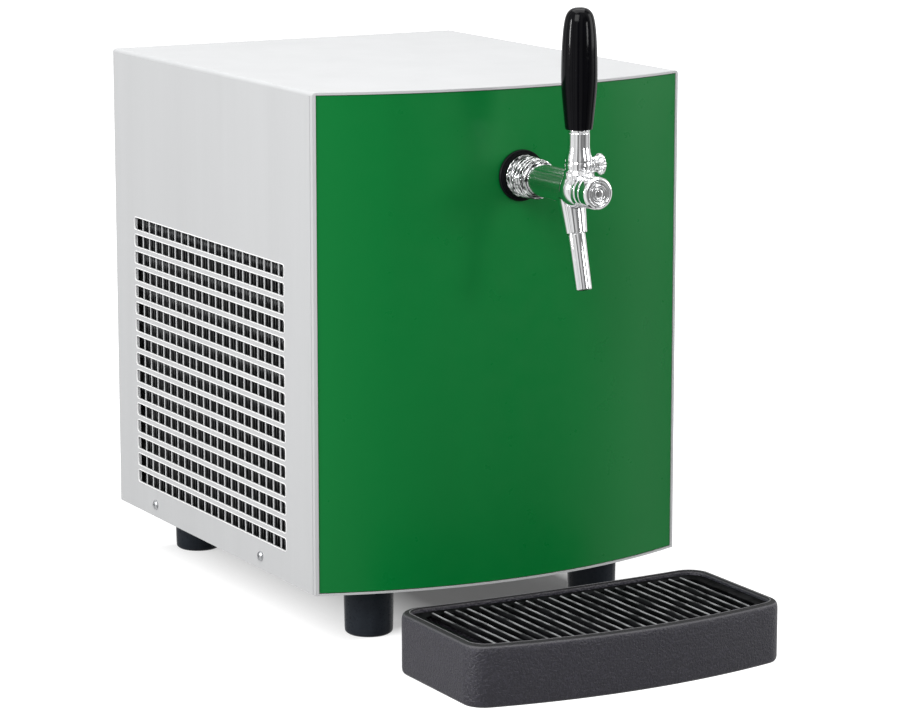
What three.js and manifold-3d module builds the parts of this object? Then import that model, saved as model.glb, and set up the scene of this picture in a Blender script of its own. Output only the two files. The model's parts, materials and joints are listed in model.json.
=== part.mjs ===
// Mini keg beer dispenser: a chilled counter-top cabinet with a bowed front, a chrome tap,
// a keg bay behind a rear door, and a drip tray that stands in front of it.
// Millimetres, +Z up. The tap looks along -Y and the floor is at z = 0.
import * as THREE from "three";
import { mergeVertices } from "three/addons/utils/BufferGeometryUtils.js";
import Module from "manifold-3d";

const wasm = await Module();
wasm.setup();

// Fits
const seatGap = 0.3; // between pieces that touch
const cutOverrun = 2; // how far a cutting body runs past what it cuts
const weldDistance = 0.0005;

// Cabinet
const cabinetWidth = 334;
const cabinetDepth = 382; // along the side sheets
const cabinetHeight = 400; // without the feet
const frontBow = 34; // how far the middle of the front stands out
const sheetThickness = 1.5;
const bendRadius = 3;
const frameBorder = 2.6; // painted edge that shows round the green panel
const frameDepth = 9;
const frameLedge = 10; // what the panel rests against
const panelThickness = 3;
const panelRecess = 0.6;

// Side grille: long slots in the left side, upright guard bars behind them
const slotRows = 16;
const slotHeight = 10.4;
const slotPitch = 14.85;
const slotCorner = 2.2;
const grilleFrontInset = 52; // from the side sheet's front
const grilleBackInset = 40; // and from its back
const grilleRise = 25; // above the cabinet's underside
const guardColumns = 22;
const guardBar = 3;
const guardThickness = 1.2;
const guardMargin = 6;

// Side screws
const sideScrewFrontInset = 99; // from the side sheet's front
const sideScrewBackInset = 76; // and from its back
const sideScrewRise = 11;
const screwHeadRadius = 4.2;
const screwHeadHeight = 2.2;
const screwShankRadius = 2;
const screwLength = 5;

// Base pan
const baseFlange = 18;
const baseFlangeInset = 20;
const baseVentLength = 70;
const baseVentWidth = 5;
const baseVentPitch = 14;
const baseVents = 4;
const baseVentInset = 92; // from the left side to their middle

// Feet
const footHeight = 44;
const footRadius = 20.5;
const footTaper = 1;
const footEdge = 2.5;
const footSideInset = 62; // from the cabinet's side to the foot's middle
const footEndInset = 28; // and from the side sheet's end
const footRecessDepth = 26;
const footScrewRadius = 2.3;
const footScrewHead = 5.5;
const footScrewHeadHeight = 3.5;
const footScrewRoom = 1; // round its head

// Tap: distances along it run forwards from the panel, heights from its axis
const tapDrop = 71; // below the cabinet's top
const gasketRadius = 20.5;
const gasketThickness = 4;
const gasketEdge = 1.2;
const collarRadius = 17;
const collarLength = 18;
const collarRibs = 6;
const collarGroove = 1.6;
const barrelRadius = 13;
const tailWall = 2;
const barrelTailLength = 10;
const barrelBore = 8.5;
const ballReach = 88;
const ballSwell = 2; // over the barrel's radius
const headFront = 14; // in front of the ball's middle
const capInset = 2.3; // under the ball's radius
const capLength = 17;
const capSpigot = 3.5;
const capFace = 8.5;
const capStep = 1.8;
const capBoss = 4;
const seatHole = 4.5;
const seatReach = 50;
const seatWall = 6;
const shankStep = 1; // under the barrel tail's radius
const shankBore = 4;
const shankInside = 40;
const shankBarb = 5;
const shankBarbLength = 8;
const nutRadius = 17;
const nutLength = 10;

// Tap lever and handle
const pivotRise = 18;
const bonnetRadius = 10.5;
const bonnetSplit = 3.6; // above the pivot
const leverBall = 6;
const leverNeck = 3.4;
const leverTip = 2.7;
const leverShaft = 2.2;
const stemRadius = 8.5;
const stemInset = 0.9; // of its flared foot, under the bonnet's radius
const stemFlareHeight = 3;
const stemTop = 46;
const cupGap = 0.5;
const handleLength = 93;
const handleRadius = 14;
const handleSpigot = 4;
const handleSpigotLength = 30;
const leverSwing = THREE.MathUtils.degToRad(25); // forwards

// Tap piston
const pistonRod = 2.6;
const pistonFit = 0.5; // round the yoke
const yokeLength = 16;
const sealFit = 1.1;
const sealThickness = 3;
const pistonHead = 4.5;
const pistonHeadLength = 4.5;

// Flow control knob, on the tap's right
const knobRadius = 8.4;
const knobLength = 9;
const knobFlutes = 8;
const knobFlute = 1.1;
const knobShaft = 3;
const knobWall = 1; // between its shaft and the lever's ball
const knobStandOff = 1;

// Spout
const spoutBack = 10; // behind the ball's middle
const spoutDrop = 11; // below the tap's axis
const spoutTilt = THREE.MathUtils.degToRad(15.6); // forwards
const sleeveLength = 25;
const sleeveTop = 10.4;
const sleeveWall = 1.7; // at its foot
const sleeveGroove = 0.8;
const tubeRadius = 7;
const tubeTaper = 0.7;
const tubeLength = 69;
const spoutBore = 4.5;
const spoutLip = 1.5;

// Drip tray
const trayWidth = 280;
const trayDepth = 126; // at its ends
const trayBow = 18; // how far its front stands out in the middle
const trayBackBow = 5; // how far its back is drawn in there, as the cabinet's front is bowed
const trayHeight = 49;
const trayGap = 45; // from the middle of the cabinet's front to the tray's ends
const trayWall = 6;
const trayFloor = 3;
const trayCorner = 12;
const trayRound = 3;
const grateRecess = 3;
const grateThickness = 4;
const grateLedge = 5;
const grateSlots = 24;
const grateRibShare = 0.42; // of the slots' pitch
const grateBorder = 5;

// Keg bay
const baySideGap = 7.2; // from the right side sheet
const bayWidth = 184; // inside
const bayWall = 13;
const machineDepth = 121; // in front of the bay
const bayRise = 18; // above the cabinet's underside
const bayHeadroom = 24.5; // under the top sheet
const skidWidth = 20;
const skidSpread = 35;
const matThickness = 4;
const matMargin = 10; // from the bay's sides
const matHole = 30;
const evaporatorThickness = 2;
const evaporatorHeight = 210;
const evaporatorBackInset = 56.2; // from the rear panel
const evaporatorRise = 20;
const channelCount = 5;
const channelHeight = 6;
const channelStand = 1.5;

// Keg coupler, parked in its holder under the bay's ceiling
const couplerRadius = 17;
const couplerFlange = 24;
const couplerFlangeThickness = 5;
const couplerNeck = 11;
const couplerNeckHeight = 9;
const couplerBelow = 24;
const couplerAbove = 13;
const couplerBore = 3;
const couplerBarb = 4.5;
const holderDrop = 44;
const holderThickness = 3;
const holderBack = 22;
const holderArm = 12;
const lineRadius = 4;
const lineDrop = 12; // of the beer line, under the bay's ceiling
const lineClearance = 2;

// Condenser and fan
const condenserThickness = 22;
const condenserStandOff = 3;
const condenserMargin = 10;
const finCount = 48;
const finShare = 0.34; // of the fins' pitch
const fanSize = 120;
const fanThickness = 25;
const fanRim = 4;
const fanHub = 19;
const fanStrut = 6;
const fanStrutDepth = 4;
const fanCorner = 6;
const fanBlades = 7;
const bladeThickness = 2;
const bladeTipGap = 3;
const bladeWidth = 15;
const bladeTwist = THREE.MathUtils.degToRad(38);
const fanRise = 160; // above the cabinet's underside
const fanAxle = 3;
const fanFrontGap = 2;

// Compressor, in front of the keg bay, and its pipes
const compressorRadius = 45;
const compressorHeight = 105;
const compressorSkirt = 5;
const skirtThickness = 4;
const compressorOffset = 7; // right of the bay's middle
const compressorInset = 58; // from the side sheet's front
const stubRadius = 4;
const stubHeight = 10;
const stubSpread = 20;
const mountSize = 104;
const mountThickness = 3;
const mountRise = 11;
const mountPad = 8;
const mountPadInset = 12;
const pipeRadius = 3;
const suctionRise = 28; // above the compressor's stub
const liquidInset = 49; // from the bay's left wall
const liquidRise = 76; // above the cabinet's underside
const condenserPortBack = 14; // behind the grille's front
const condenserPortReach = 22;
const dischargePortDrop = 5.5; // below the grille's top
const dischargePortBend = 6;

// Rear panel and what it carries
const ventRows = 9;
const ventMargin = 18.1; // beside the vents
const ventHeadroom = 69; // over them
const ventShare = 0.43; // of the vents' pitch
const ventCornerShare = 0.33; // of their height
const ventRise = 205; // above the cabinet's underside
const openingMargin = 1; // round the keg bay's inside
const inletWidth = 50;
const inletHeight = 30;
const inletLip = 4;
const inletFace = 3;
const inletDepth = 24;
const socketWidth = 25;
const socketHeight = 17;
const socketDepth = 16;
const pinWidth = 2.2;
const pinLength = 11;
const pinSpread = 7;
const pinDrop = 2;
const inletRise = 38;
const switchWidth = 28;
const switchHeight = 34;
const switchLip = 3;
const switchFace = 2.5;
const switchDepth = 20;
const switchWall = 3;
const switchRise = 88;
const rockerStand = 3;
const rockerDip = 1.2;
const rockerKeel = 7;
const rockerClearance = 1.2;
const rockerAxle = 1.4;
const rockerAxleReach = 1.6;
const rockerTilt = THREE.MathUtils.degToRad(9);
const thermostatRise = 140;
const thermostatBox = 34;
const thermostatDepth = 22;
const thermostatShaft = 3;
const shaftReach = 9;
const dialRadius = 15;
const dialLength = 14;
const dialStandOff = 1;
const dialFlutes = 8;
const dialFlute = 1.3;

// Keg door
const doorOverlap = 11; // over the rear panel, round the opening
const doorThickness = 20;
const doorCorner = 6;
const gasketStand = 3; // from the rear panel to the door
const gasketWidth = 7;
const linerReach = 13; // into the bay
const linerInset = 5;
const linerRim = 14;
const linerDish = 6;
const hingePin = 2;
const hingeKnuckle = 4.5;
const hingeEdgeGap = 1; // from the door's edge to the knuckle
const hingeClearance = 0.5; // from the leaf to the knuckle
const hingeEar = 10;
const hingeLug = 9;
const hingeInset = 46; // from the door's ends
const leafThickness = 2.5;
const pullLength = 90;
const pullStand = 14;
const pullThickness = 8;
const pullWidth = 12;
const pullInset = 22;

// Worked out
const halfWidth = cabinetWidth / 2;
const halfDepth = cabinetDepth / 2;
const bowRadius = (halfWidth ** 2 + frontBow ** 2) / (2 * frontBow);
const frontMiddle = -(halfDepth + frontBow);
const bowCentre = frontMiddle + bowRadius;
const underside = footHeight;
const roof = footHeight + cabinetHeight;
const insideHalf = halfWidth - sheetThickness;
const insideFloor = underside + sheetThickness;
const fitHalf = insideHalf - seatGap; // what slides in between the side sheets
const footAside = halfWidth - footSideInset;
const footAlong = halfDepth - footEndInset;
const footRecessRadius = footScrewHead + footScrewRoom;
const sideScrewFront = halfDepth - sideScrewFrontInset;
const sideScrewBack = halfDepth - sideScrewBackInset;
const rearInner = halfDepth - sheetThickness;
const panelFace = frontMiddle + panelRecess;
const tapHeight = roof - tapDrop;
const grilleFront = halfDepth - grilleFrontInset; // in front of the cabinet's middle
const grilleBack = halfDepth - grilleBackInset; // behind it
const grilleBottom = underside + grilleRise;
const grilleTop = grilleBottom + (slotRows - 1) * slotPitch + slotHeight;
const grilleLength = grilleFront + grilleBack;
const bayBottom = underside + bayRise;
const bayFloor = bayBottom + bayWall;
const bayCeiling = roof - sheetThickness - bayHeadroom - bayWall;
const bayRight = fitHalf - baySideGap - bayWall;
const bayLeft = bayRight - bayWidth;
const bayCentre = (bayLeft + bayRight) / 2;
const bayFront = halfDepth - machineDepth; // in front of the cabinet's middle
const bayInsideFront = -bayFront + bayWall;
const kegAlong = (bayInsideFront + rearInner) / 2;
const matRadius = bayWidth / 2 - matMargin;
const couplerSeat = bayCeiling - holderDrop;
const lineHeight = bayCeiling - lineDrop;
const guardLeft = -fitHalf;
const condenserLeft = guardLeft + guardThickness + condenserStandOff;
const condenserRight = condenserLeft + condenserThickness;
const condenserPortAlong = grilleFront - condenserPortBack;
const fanHole = fanSize / 2 - fanRim;
const compressorAside = bayCentre + compressorOffset;
const compressorAlong = halfDepth - compressorInset;
const liquidAside = bayLeft + liquidInset;
const compressorFoot = insideFloor + mountRise + mountThickness + seatGap;
const stubTop = compressorFoot + compressorHeight + stubHeight;
const doorLeft = bayLeft - openingMargin - doorOverlap;
const doorRight = bayRight + openingMargin + doorOverlap;
const doorBottom = bayFloor - openingMargin - doorOverlap;
const doorTop = bayCeiling + openingMargin + doorOverlap;
const doorInner = halfDepth + gasketStand;
const doorOuter = doorInner + doorThickness;
const hingeStandOff = seatGap + leafThickness + hingeClearance + hingeKnuckle;
const hingeX = doorRight + hingeEdgeGap + hingeKnuckle;
const hingeY = halfDepth + hingeStandOff;
const rearFittings = (doorLeft - fitHalf) / 2;
const ventLength = doorLeft + fitHalf - 2 * ventMargin;
const ventPitch = (cabinetHeight - ventRise - ventHeadroom) / ventRows;
const ventWidth = ventPitch * ventShare;
const barrelTailRadius = barrelBore + tailWall;
const ballRadius = barrelRadius + ballSwell;
const capRadius = ballRadius - capInset;
const shankRadius = barrelTailRadius - shankStep;
const yokeRadius = barrelBore - pistonFit;
const sealRadius = barrelBore - sealFit;
const knobPocket = bonnetRadius - leverBall - knobWall;
const stemFlare = bonnetRadius - stemInset;
const sleeveFoot = tubeRadius + sleeveWall;
const tubeEnd = tubeRadius - tubeTaper;
const trayBack = frontMiddle - trayGap;
const frontMost = trayBack - trayDepth - trayBow;
const rearMost = doorOuter + seatGap + pullStand + pullThickness;

// Materials
function material(color, roughness, metalness) {
  return new THREE.MeshStandardMaterial({ color, roughness, metalness });
}

const steel = material(0xd3d5d7, 0.42, 0.6);
const green = material(0x0a7434, 0.35, 0);
const chrome = material(0xe4e6e8, 0.12, 1);
const rubber = material(0x1b1d20, 0.7, 0);
const footPlastic = material(0x23262f, 0.5, 0);
const glossBlack = material(0x08080a, 0.15, 0);
const trayPlastic = material(0x37353b, 0.6, 0);
const gratePlastic = material(0x101012, 0.4, 0);
const whitePlastic = material(0xe9ebe6, 0.6, 0);
const aluminium = material(0xb9bcc0, 0.35, 0.9);
const darkPaint = material(0x2a2c2e, 0.5, 0.2);
const copper = material(0xb56a3c, 0.35, 0.9);
const hose = material(0xdfe3dc, 0.4, 0);
const zinc = material(0xc3c6c8, 0.35, 0.9);

// Solids: three.js makes the forms, manifold-3d joins and cuts them
function solid(form) {
  if (!form.isBufferGeometry) return form;
  const bare = form.clone();
  bare.deleteAttribute("normal");
  bare.deleteAttribute("uv");
  const merged = mergeVertices(bare, weldDistance);
  const corners = merged.index.array;
  const triangles = [];
  for (let i = 0; i < corners.length; i += 3) {
    const [a, b, c] = corners.slice(i, i + 3);
    if (a !== b && b !== c && c !== a) triangles.push(a, b, c);
  }
  const vertProperties = merged.attributes.position.array;
  const triVerts = new Uint32Array(triangles);
  return new wasm.Manifold(new wasm.Mesh({ numProp: 3, vertProperties, triVerts }));
}

function join(first, ...others) {
  return others.reduce((sum, other) => sum.add(solid(other)), solid(first));
}

function cut(first, ...others) {
  return others.reduce((rest, other) => rest.subtract(solid(other)), solid(first));
}

function common(first, ...others) {
  return others.reduce((rest, other) => rest.intersect(solid(other)), solid(first));
}

function piece(name, body, finish, place = [0, 0, 0]) {
  const { vertProperties, triVerts } = solid(body).getMesh();
  const geometry = new THREE.BufferGeometry();
  geometry.setAttribute("position", new THREE.BufferAttribute(new Float32Array(vertProperties), 3));
  geometry.setIndex(new THREE.BufferAttribute(new Uint32Array(triVerts), 1));
  geometry.computeVertexNormals();
  const mesh = new THREE.Mesh(geometry, finish);
  mesh.name = name;
  mesh.position.set(...place);
  return mesh;
}

function group(place, ...members) {
  const holder = new THREE.Group();
  holder.position.set(...place);
  holder.add(...members);
  return holder;
}

// A block from its lowest corner to its highest
function block(low, high) {
  const size = high.map((h, i) => h - low[i]);
  return new THREE.BoxGeometry(...size).translate(...low.map((l, i) => l + size[i] / 2));
}

// A shape drawn in X and Y, raised from bottom to top
function raise(shape, bottom, top, curveSegments = 6) {
  const depth = top - bottom;
  const settings = { depth, bevelEnabled: false, curveSegments };
  return new THREE.ExtrudeGeometry(shape, settings).translate(0, 0, bottom);
}

// A shape drawn in X and Z, run along Y from front to back
function runAlongY(shape, front, back, curveSegments = 6) {
  return raise(shape, 0, back - front, curveSegments).rotateX(Math.PI / 2).translate(0, back, 0);
}

// A shape drawn in Y and Z, run along X from left to right
function runAlongX(shape, left, right, curveSegments = 6) {
  const form = raise(shape, 0, right - left, curveSegments);
  return form.rotateX(Math.PI / 2).rotateZ(Math.PI / 2).translate(left, 0, 0);
}

// A profile of [radius, height] pairs turned about Z, its heights rising along the outside
function turned(profile, segments = 20) {
  const points = profile.map(([radius, height]) => new THREE.Vector2(radius, height));
  return new THREE.LatheGeometry(points, segments).rotateX(Math.PI / 2);
}

// The same with its heights running forwards, backwards or to the right
const turnedForwards = (profile, segments) => turned(profile, segments).rotateX(Math.PI / 2);
const turnedBackwards = (profile, segments) => turned(profile, segments).rotateX(-Math.PI / 2);
const turnedRight = (profile, segments) => turned(profile, segments).rotateY(Math.PI / 2);

const rod = (radius, from, to) => [[0, from], [radius, from], [radius, to], [0, to]];

function ring(bore, radius, from, to) {
  return [[bore, from], [radius, from], [radius, to], [bore, to], [bore, from]];
}

// Points of a profile along a circle whose middle is on the axis, at the given height
function arc(radius, middle, fromAngle, toAngle, steps) {
  return Array.from({ length: steps + 1 }, (_, i) => {
    const angle = fromAngle + ((toAngle - fromAngle) * i) / steps;
    return [radius * Math.cos(angle), middle + radius * Math.sin(angle)];
  });
}

function ball(radius, place, segments = 16) {
  return new THREE.SphereGeometry(radius, segments, segments / 2).translate(...place);
}

function polygon(points) {
  return new THREE.Shape(points.map(([x, y]) => new THREE.Vector2(x, y)));
}

function rectangle(left, bottom, right, top) {
  return polygon([[left, bottom], [right, bottom], [right, top], [left, top]]);
}

function roundedRectangle(left, bottom, right, top, radius) {
  const quarter = Math.PI / 2;
  const shape = new THREE.Shape();
  shape.absarc(right - radius, bottom + radius, radius, -quarter, 0, false);
  shape.absarc(right - radius, top - radius, radius, 0, quarter, false);
  shape.absarc(left + radius, top - radius, radius, quarter, 2 * quarter, false);
  shape.absarc(left + radius, bottom + radius, radius, 2 * quarter, 3 * quarter, false);
  return shape;
}

function circle(x, y, radius) {
  return new THREE.Shape().absarc(x, y, radius, 0, 2 * Math.PI, false);
}

// Cylinders cut round a turned piece, as finger grips
function flutes(count, radius, flute, make) {
  return Array.from({ length: count }, (_, i) => {
    const angle = (2 * Math.PI * i) / count;
    return make(radius * Math.cos(angle), radius * Math.sin(angle), flute);
  });
}

// A pipe along a smooth line through the points
function pipe(points, radius, steps, sides = 8) {
  const extrudePath = new THREE.CatmullRomCurve3(points.map((p) => new THREE.Vector3(...p)));
  const section = Array.from({ length: sides }, (_, i) => {
    const angle = (2 * Math.PI * i) / sides;
    return [radius * Math.cos(angle), radius * Math.sin(angle)];
  });
  return new THREE.ExtrudeGeometry(polygon(section), { steps, extrudePath, bevelEnabled: false });
}

// The bowed front: its place at a distance from the middle, and a band that follows it
function bowAt(x, inset = 0) {
  return bowCentre - Math.sqrt((bowRadius - inset) ** 2 - x ** 2);
}

function bowedBand(inset, thickness, halfSpan) {
  const outer = bowRadius - inset;
  const inner = outer - thickness;
  const outerAngle = Math.asin(halfSpan / outer);
  const innerAngle = Math.asin(halfSpan / inner);
  const forwards = -Math.PI / 2;
  const shape = new THREE.Shape();
  shape.absarc(0, bowCentre, outer, forwards - outerAngle, forwards + outerAngle, false);
  shape.absarc(0, bowCentre, inner, forwards + innerAngle, forwards - innerAngle, true);
  return shape;
}

function cabinetOutline(inset, back) {
  const radius = bowRadius - inset;
  const half = halfWidth - inset;
  const angle = Math.asin(half / radius);
  const forwards = -Math.PI / 2;
  const shape = new THREE.Shape();
  shape.absarc(0, bowCentre, radius, forwards - angle, forwards + angle, false);
  shape.lineTo(half, back).lineTo(-half, back);
  return shape;
}

// Cabinet shell
function makeWrap() {
  const outside = raise(cabinetOutline(0, halfDepth), underside, roof, 8);
  const bend = roundedRectangle(-halfWidth, underside - cabinetHeight, halfWidth, roof, bendRadius);
  const rounded = common(outside, runAlongY(bend, frontMiddle - cutOverrun, halfDepth + cutOverrun, 2));
  const hollow = cabinetOutline(sheetThickness, halfDepth + cutOverrun);
  const inside = raise(hollow, underside - cutOverrun, roof - sheetThickness, 8);
  const windowHalf = halfWidth - frameBorder;
  const window = rectangle(-windowHalf, underside + frameBorder, windowHalf, roof - frameBorder);
  const frontWindow = runAlongY(window, frontMiddle - cutOverrun, -halfDepth + frameDepth);
  return cut(rounded, inside, frontWindow, ...grilleSlots(), ...sideScrewHoles(halfWidth));
}

function grilleSlots() {
  return Array.from({ length: slotRows }, (_, row) => {
    const bottom = grilleBottom + row * slotPitch;
    const slot = roundedRectangle(-grilleFront, bottom, grilleBack, bottom + slotHeight, slotCorner);
    return runAlongX(slot, -halfWidth - cutOverrun, -insideHalf + cutOverrun, 1);
  });
}

function sideScrewHoles(reach) {
  return sideScrewPlaces().map(([along, height]) => {
    const hole = circle(along, height, screwShankRadius + seatGap);
    return runAlongX(hole, -reach - cutOverrun, reach + cutOverrun, 4);
  });
}

function sideScrewPlaces() {
  const height = underside + sideScrewRise;
  return [[-sideScrewFront, height], [sideScrewBack, height]];
}

function makeBasePan() {
  const inset = sheetThickness + seatGap;
  const plate = raise(cabinetOutline(inset, halfDepth), underside, insideFloor, 8);
  const front = -halfDepth + baseFlangeInset;
  const top = underside + baseFlange;
  const back = rearInner - seatGap;
  const left = block([-fitHalf, front, underside], [-fitHalf + sheetThickness, back, top]);
  const right = block([fitHalf - sheetThickness, front, underside], [fitHalf, back, top]);
  const through = [underside - cutOverrun, insideFloor + cutOverrun];
  const holes = footPlaces().map(([x, y]) => raise(circle(x, y, footScrewRadius + seatGap), ...through, 4));
  const vents = Array.from({ length: baseVents }, (_, i) => {
    const y = (i - (baseVents - 1) / 2) * baseVentPitch - baseVentWidth / 2;
    const x = -halfWidth + baseVentInset - baseVentLength / 2;
    return raise(rectangle(x, y, x + baseVentLength, y + baseVentWidth), ...through);
  });
  return cut(join(plate, left, right), ...holes, ...vents, ...sideScrewHoles(halfWidth));
}

function makeFrontFrame() {
  const inset = panelRecess + panelThickness + seatGap;
  const bottom = insideFloor + seatGap;
  const top = roof - sheetThickness - seatGap;
  const band = raise(bowedBand(inset, frameDepth, fitHalf), bottom, top, 8);
  const ledge = frameBorder + frameLedge;
  const half = halfWidth - ledge;
  const window = rectangle(-half, underside + ledge, half, roof - ledge);
  return cut(band, runAlongY(window, frontMiddle - cutOverrun, 0));
}

function makeFrontPanel() {
  const edge = frameBorder + seatGap;
  const outline = bowedBand(panelRecess, panelThickness, halfWidth - edge);
  const band = raise(outline, underside + edge, roof - edge, 8);
  const hole = circle(0, tapHeight, shankRadius + seatGap);
  return cut(band, runAlongY(hole, frontMiddle - cutOverrun, 0, 8));
}

function makeGuard() {
  const right = guardLeft + guardThickness;
  const plate = block(
    [guardLeft, -grilleFront - guardMargin, grilleBottom - guardMargin],
    [right, grilleBack + guardMargin, grilleTop + guardMargin],
  );
  const pitch = grilleLength / guardColumns;
  const windows = Array.from({ length: guardColumns }, (_, i) => {
    const front = -grilleFront + i * pitch + guardBar / 2;
    return block(
      [guardLeft - cutOverrun, front, grilleBottom - guardBar / 2],
      [right + cutOverrun, front + pitch - guardBar, grilleTop + guardBar / 2],
    );
  });
  return cut(plate, ...windows);
}

function makeFoot() {
  const top = footHeight - seatGap;
  const profile = [
    [0, footRecessDepth],
    [footRecessRadius, footRecessDepth],
    [footRecessRadius, 0],
    [footRadius - footTaper - footEdge, 0],
    [footRadius - footTaper, footEdge],
    [footRadius, top],
    [0, top],
  ];
  return cut(turned(profile, 16), turned(rod(footScrewRadius + seatGap, 0, footHeight + cutOverrun), 8));
}

function makeFootScrew() {
  const seat = footRecessDepth - seatGap;
  return turned([
    [0, seat - footScrewHeadHeight],
    [footScrewHead, seat - footScrewHeadHeight],
    [footScrewHead, seat],
    [footScrewRadius, seat],
    [footScrewRadius, insideFloor],
    [0, insideFloor],
  ], 8);
}

function footPlaces() {
  return [-footAlong, footAlong].flatMap((y) => [[-footAside, y], [footAside, y]]);
}

function makeSideScrew() {
  // Radius and height of the domed head, as shares of its own
  const domeShares = [[1, 0], [0.91, 0.55], [0.55, 1], [0, 1]];
  return turnedRight([
    [0, -screwLength],
    [screwShankRadius, -screwLength],
    [screwShankRadius, seatGap],
    ...domeShares.map(([wide, high]) => [wide * screwHeadRadius, seatGap + high * screwHeadHeight]),
  ], 8);
}

function makeFeetAndScrews() {
  const corners = ["front_left", "front_right", "rear_left", "rear_right"];
  const members = footPlaces().flatMap(([x, y], i) => [
    piece(`foot_${corners[i]}`, makeFoot(), footPlastic, [x, y, 0]),
    piece(`foot_screw_${corners[i]}`, makeFootScrew(), zinc, [x, y, 0]),
  ]);
  const ends = ["front", "rear"];
  sideScrewPlaces().forEach(([y, z], i) => {
    const right = piece(`side_screw_right_${ends[i]}`, makeSideScrew(), zinc, [halfWidth, y, z]);
    const left = piece(`side_screw_left_${ends[i]}`, makeSideScrew(), zinc, [-halfWidth, y, z]);
    left.rotation.z = Math.PI;
    members.push(right, left);
  });
  return group([0, 0, 0], ...members);
}

// Rear panel and its fittings
function makeRearPanel() {
  const plate = rectangle(-fitHalf, insideFloor + seatGap, fitHalf, roof - sheetThickness - seatGap);
  const openingHalf = bayWidth / 2 + openingMargin;
  const bottom = bayFloor - openingMargin;
  const top = bayCeiling + openingMargin;
  const opening = rectangle(bayCentre - openingHalf, bottom, bayCentre + openingHalf, top);
  const vents = Array.from({ length: ventRows }, (_, row) => {
    const low = underside + ventRise + row * ventPitch;
    const left = rearFittings - ventLength / 2;
    return roundedRectangle(left, low, left + ventLength, low + ventWidth, ventWidth * ventCornerShare);
  });
  const holes = [
    opening,
    ...vents,
    fittingHole(inletWidth, inletHeight, inletLip, inletRise),
    fittingHole(switchWidth, switchHeight, switchLip, switchRise),
  ];
  const through = [rearInner - cutOverrun, halfDepth + cutOverrun];
  const shaftHole = circle(rearFittings, underside + thermostatRise, thermostatShaft + seatGap);
  const cutters = holes.map((hole) => runAlongY(hole, ...through, 1));
  return cut(runAlongY(plate, rearInner, halfDepth), ...cutters, runAlongY(shaftHole, ...through, 6));
}

function fittingHole(width, height, lip, rise) {
  const halfX = width / 2 - lip + seatGap;
  const halfZ = height / 2 - lip + seatGap;
  const middle = underside + rise;
  return rectangle(rearFittings - halfX, middle - halfZ, rearFittings + halfX, middle + halfZ);
}

// A block about the Y axis, given by its full width and height
function bar(width, height, front, back) {
  return block([-width / 2, front, -height / 2], [width / 2, back, height / 2]);
}

function makeInlet() {
  const face = seatGap + inletFace;
  const plate = bar(inletWidth, inletHeight, seatGap, face);
  const body = bar(inletWidth - 2 * inletLip, inletHeight - 2 * inletLip, -inletDepth, face);
  const socketFloor = face - socketDepth;
  const socket = bar(socketWidth, socketHeight, socketFloor, face + cutOverrun);
  const pins = [[-pinSpread, -pinDrop], [pinSpread, -pinDrop], [0, pinDrop]].map(([x, z]) => {
    const pin = bar(pinWidth, 2 * pinWidth, socketFloor - cutOverrun, socketFloor + pinLength);
    return pin.translate(x, 0, z);
  });
  return join(cut(join(plate, body), socket), ...pins);
}

function makeSwitchBezel() {
  const face = seatGap + switchFace;
  const bodyWidth = switchWidth - 2 * switchLip;
  const bodyHeight = switchHeight - 2 * switchLip;
  const plate = bar(switchWidth, switchHeight, seatGap, face);
  const body = bar(bodyWidth, bodyHeight, -switchDepth, face);
  const pocketFloor = -switchDepth + switchWall;
  const pocketWidth = bodyWidth - 2 * switchWall;
  const pocketHeight = bodyHeight - 2 * switchFace;
  const pocket = bar(pocketWidth, pocketHeight, pocketFloor, face + cutOverrun);
  const reach = pocketWidth / 2 + rockerAxleReach;
  const bearing = turnedRight(rod(rockerAxle + seatGap, -reach, reach), 10);
  return cut(join(plate, body), pocket, bearing);
}

function makeRocker() {
  const pocketWidth = switchWidth - 2 * switchLip - 2 * switchWall;
  const half = (switchHeight - 2 * switchLip - 2 * switchFace) / 2 - rockerClearance;
  const outline = polygon([
    [-rockerKeel, 0],
    [-rockerDip, half],
    [rockerStand, half],
    [rockerDip, 0],
    [rockerStand, -half],
    [-rockerDip, -half],
  ]);
  const halfX = pocketWidth / 2 - seatGap;
  const reach = pocketWidth / 2 + rockerAxleReach - seatGap;
  return join(runAlongX(outline, -halfX, halfX), turnedRight(rod(rockerAxle, -reach, reach), 10));
}

function makeThermostat() {
  const back = -sheetThickness - seatGap;
  const box = bar(thermostatBox, thermostatBox, back - thermostatDepth, back);
  return join(box, turnedBackwards(rod(thermostatShaft, back - cutOverrun, shaftReach), 12));
}

function makeDial() {
  const edge = dialFlute;
  const profile = [
    [0, shaftReach + seatGap],
    [thermostatShaft + seatGap, shaftReach + seatGap],
    [thermostatShaft + seatGap, dialStandOff],
    [dialRadius, dialStandOff],
    [dialRadius, dialLength - edge],
    [dialRadius - edge, dialLength],
    [0, dialLength],
  ];
  const grips = flutes(dialFlutes, dialRadius, dialFlute, (x, z, radius) => {
    return turnedBackwards(rod(radius, 0, dialLength + cutOverrun), 6).translate(x, 0, z);
  });
  const pointer = bar(dialFlute, dialRadius, dialLength - dialFlute, dialLength + cutOverrun);
  return cut(turnedBackwards(profile), ...grips, pointer.translate(0, 0, dialRadius / 2));
}

function makeRearFittings() {
  const at = (rise) => [rearFittings, halfDepth, underside + rise];
  const rocker = piece("switch_rocker", makeRocker(), glossBlack, at(switchRise));
  rocker.rotation.x = -rockerTilt;
  return group(
    [0, 0, 0],
    piece("rear_panel", makeRearPanel(), steel),
    piece("power_inlet", makeInlet(), glossBlack, at(inletRise)),
    piece("switch_bezel", makeSwitchBezel(), glossBlack, at(switchRise)),
    rocker,
    piece("thermostat", makeThermostat(), darkPaint, at(thermostatRise)),
    piece("thermostat_dial", makeDial(), glossBlack, at(thermostatRise)),
  );
}

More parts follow.
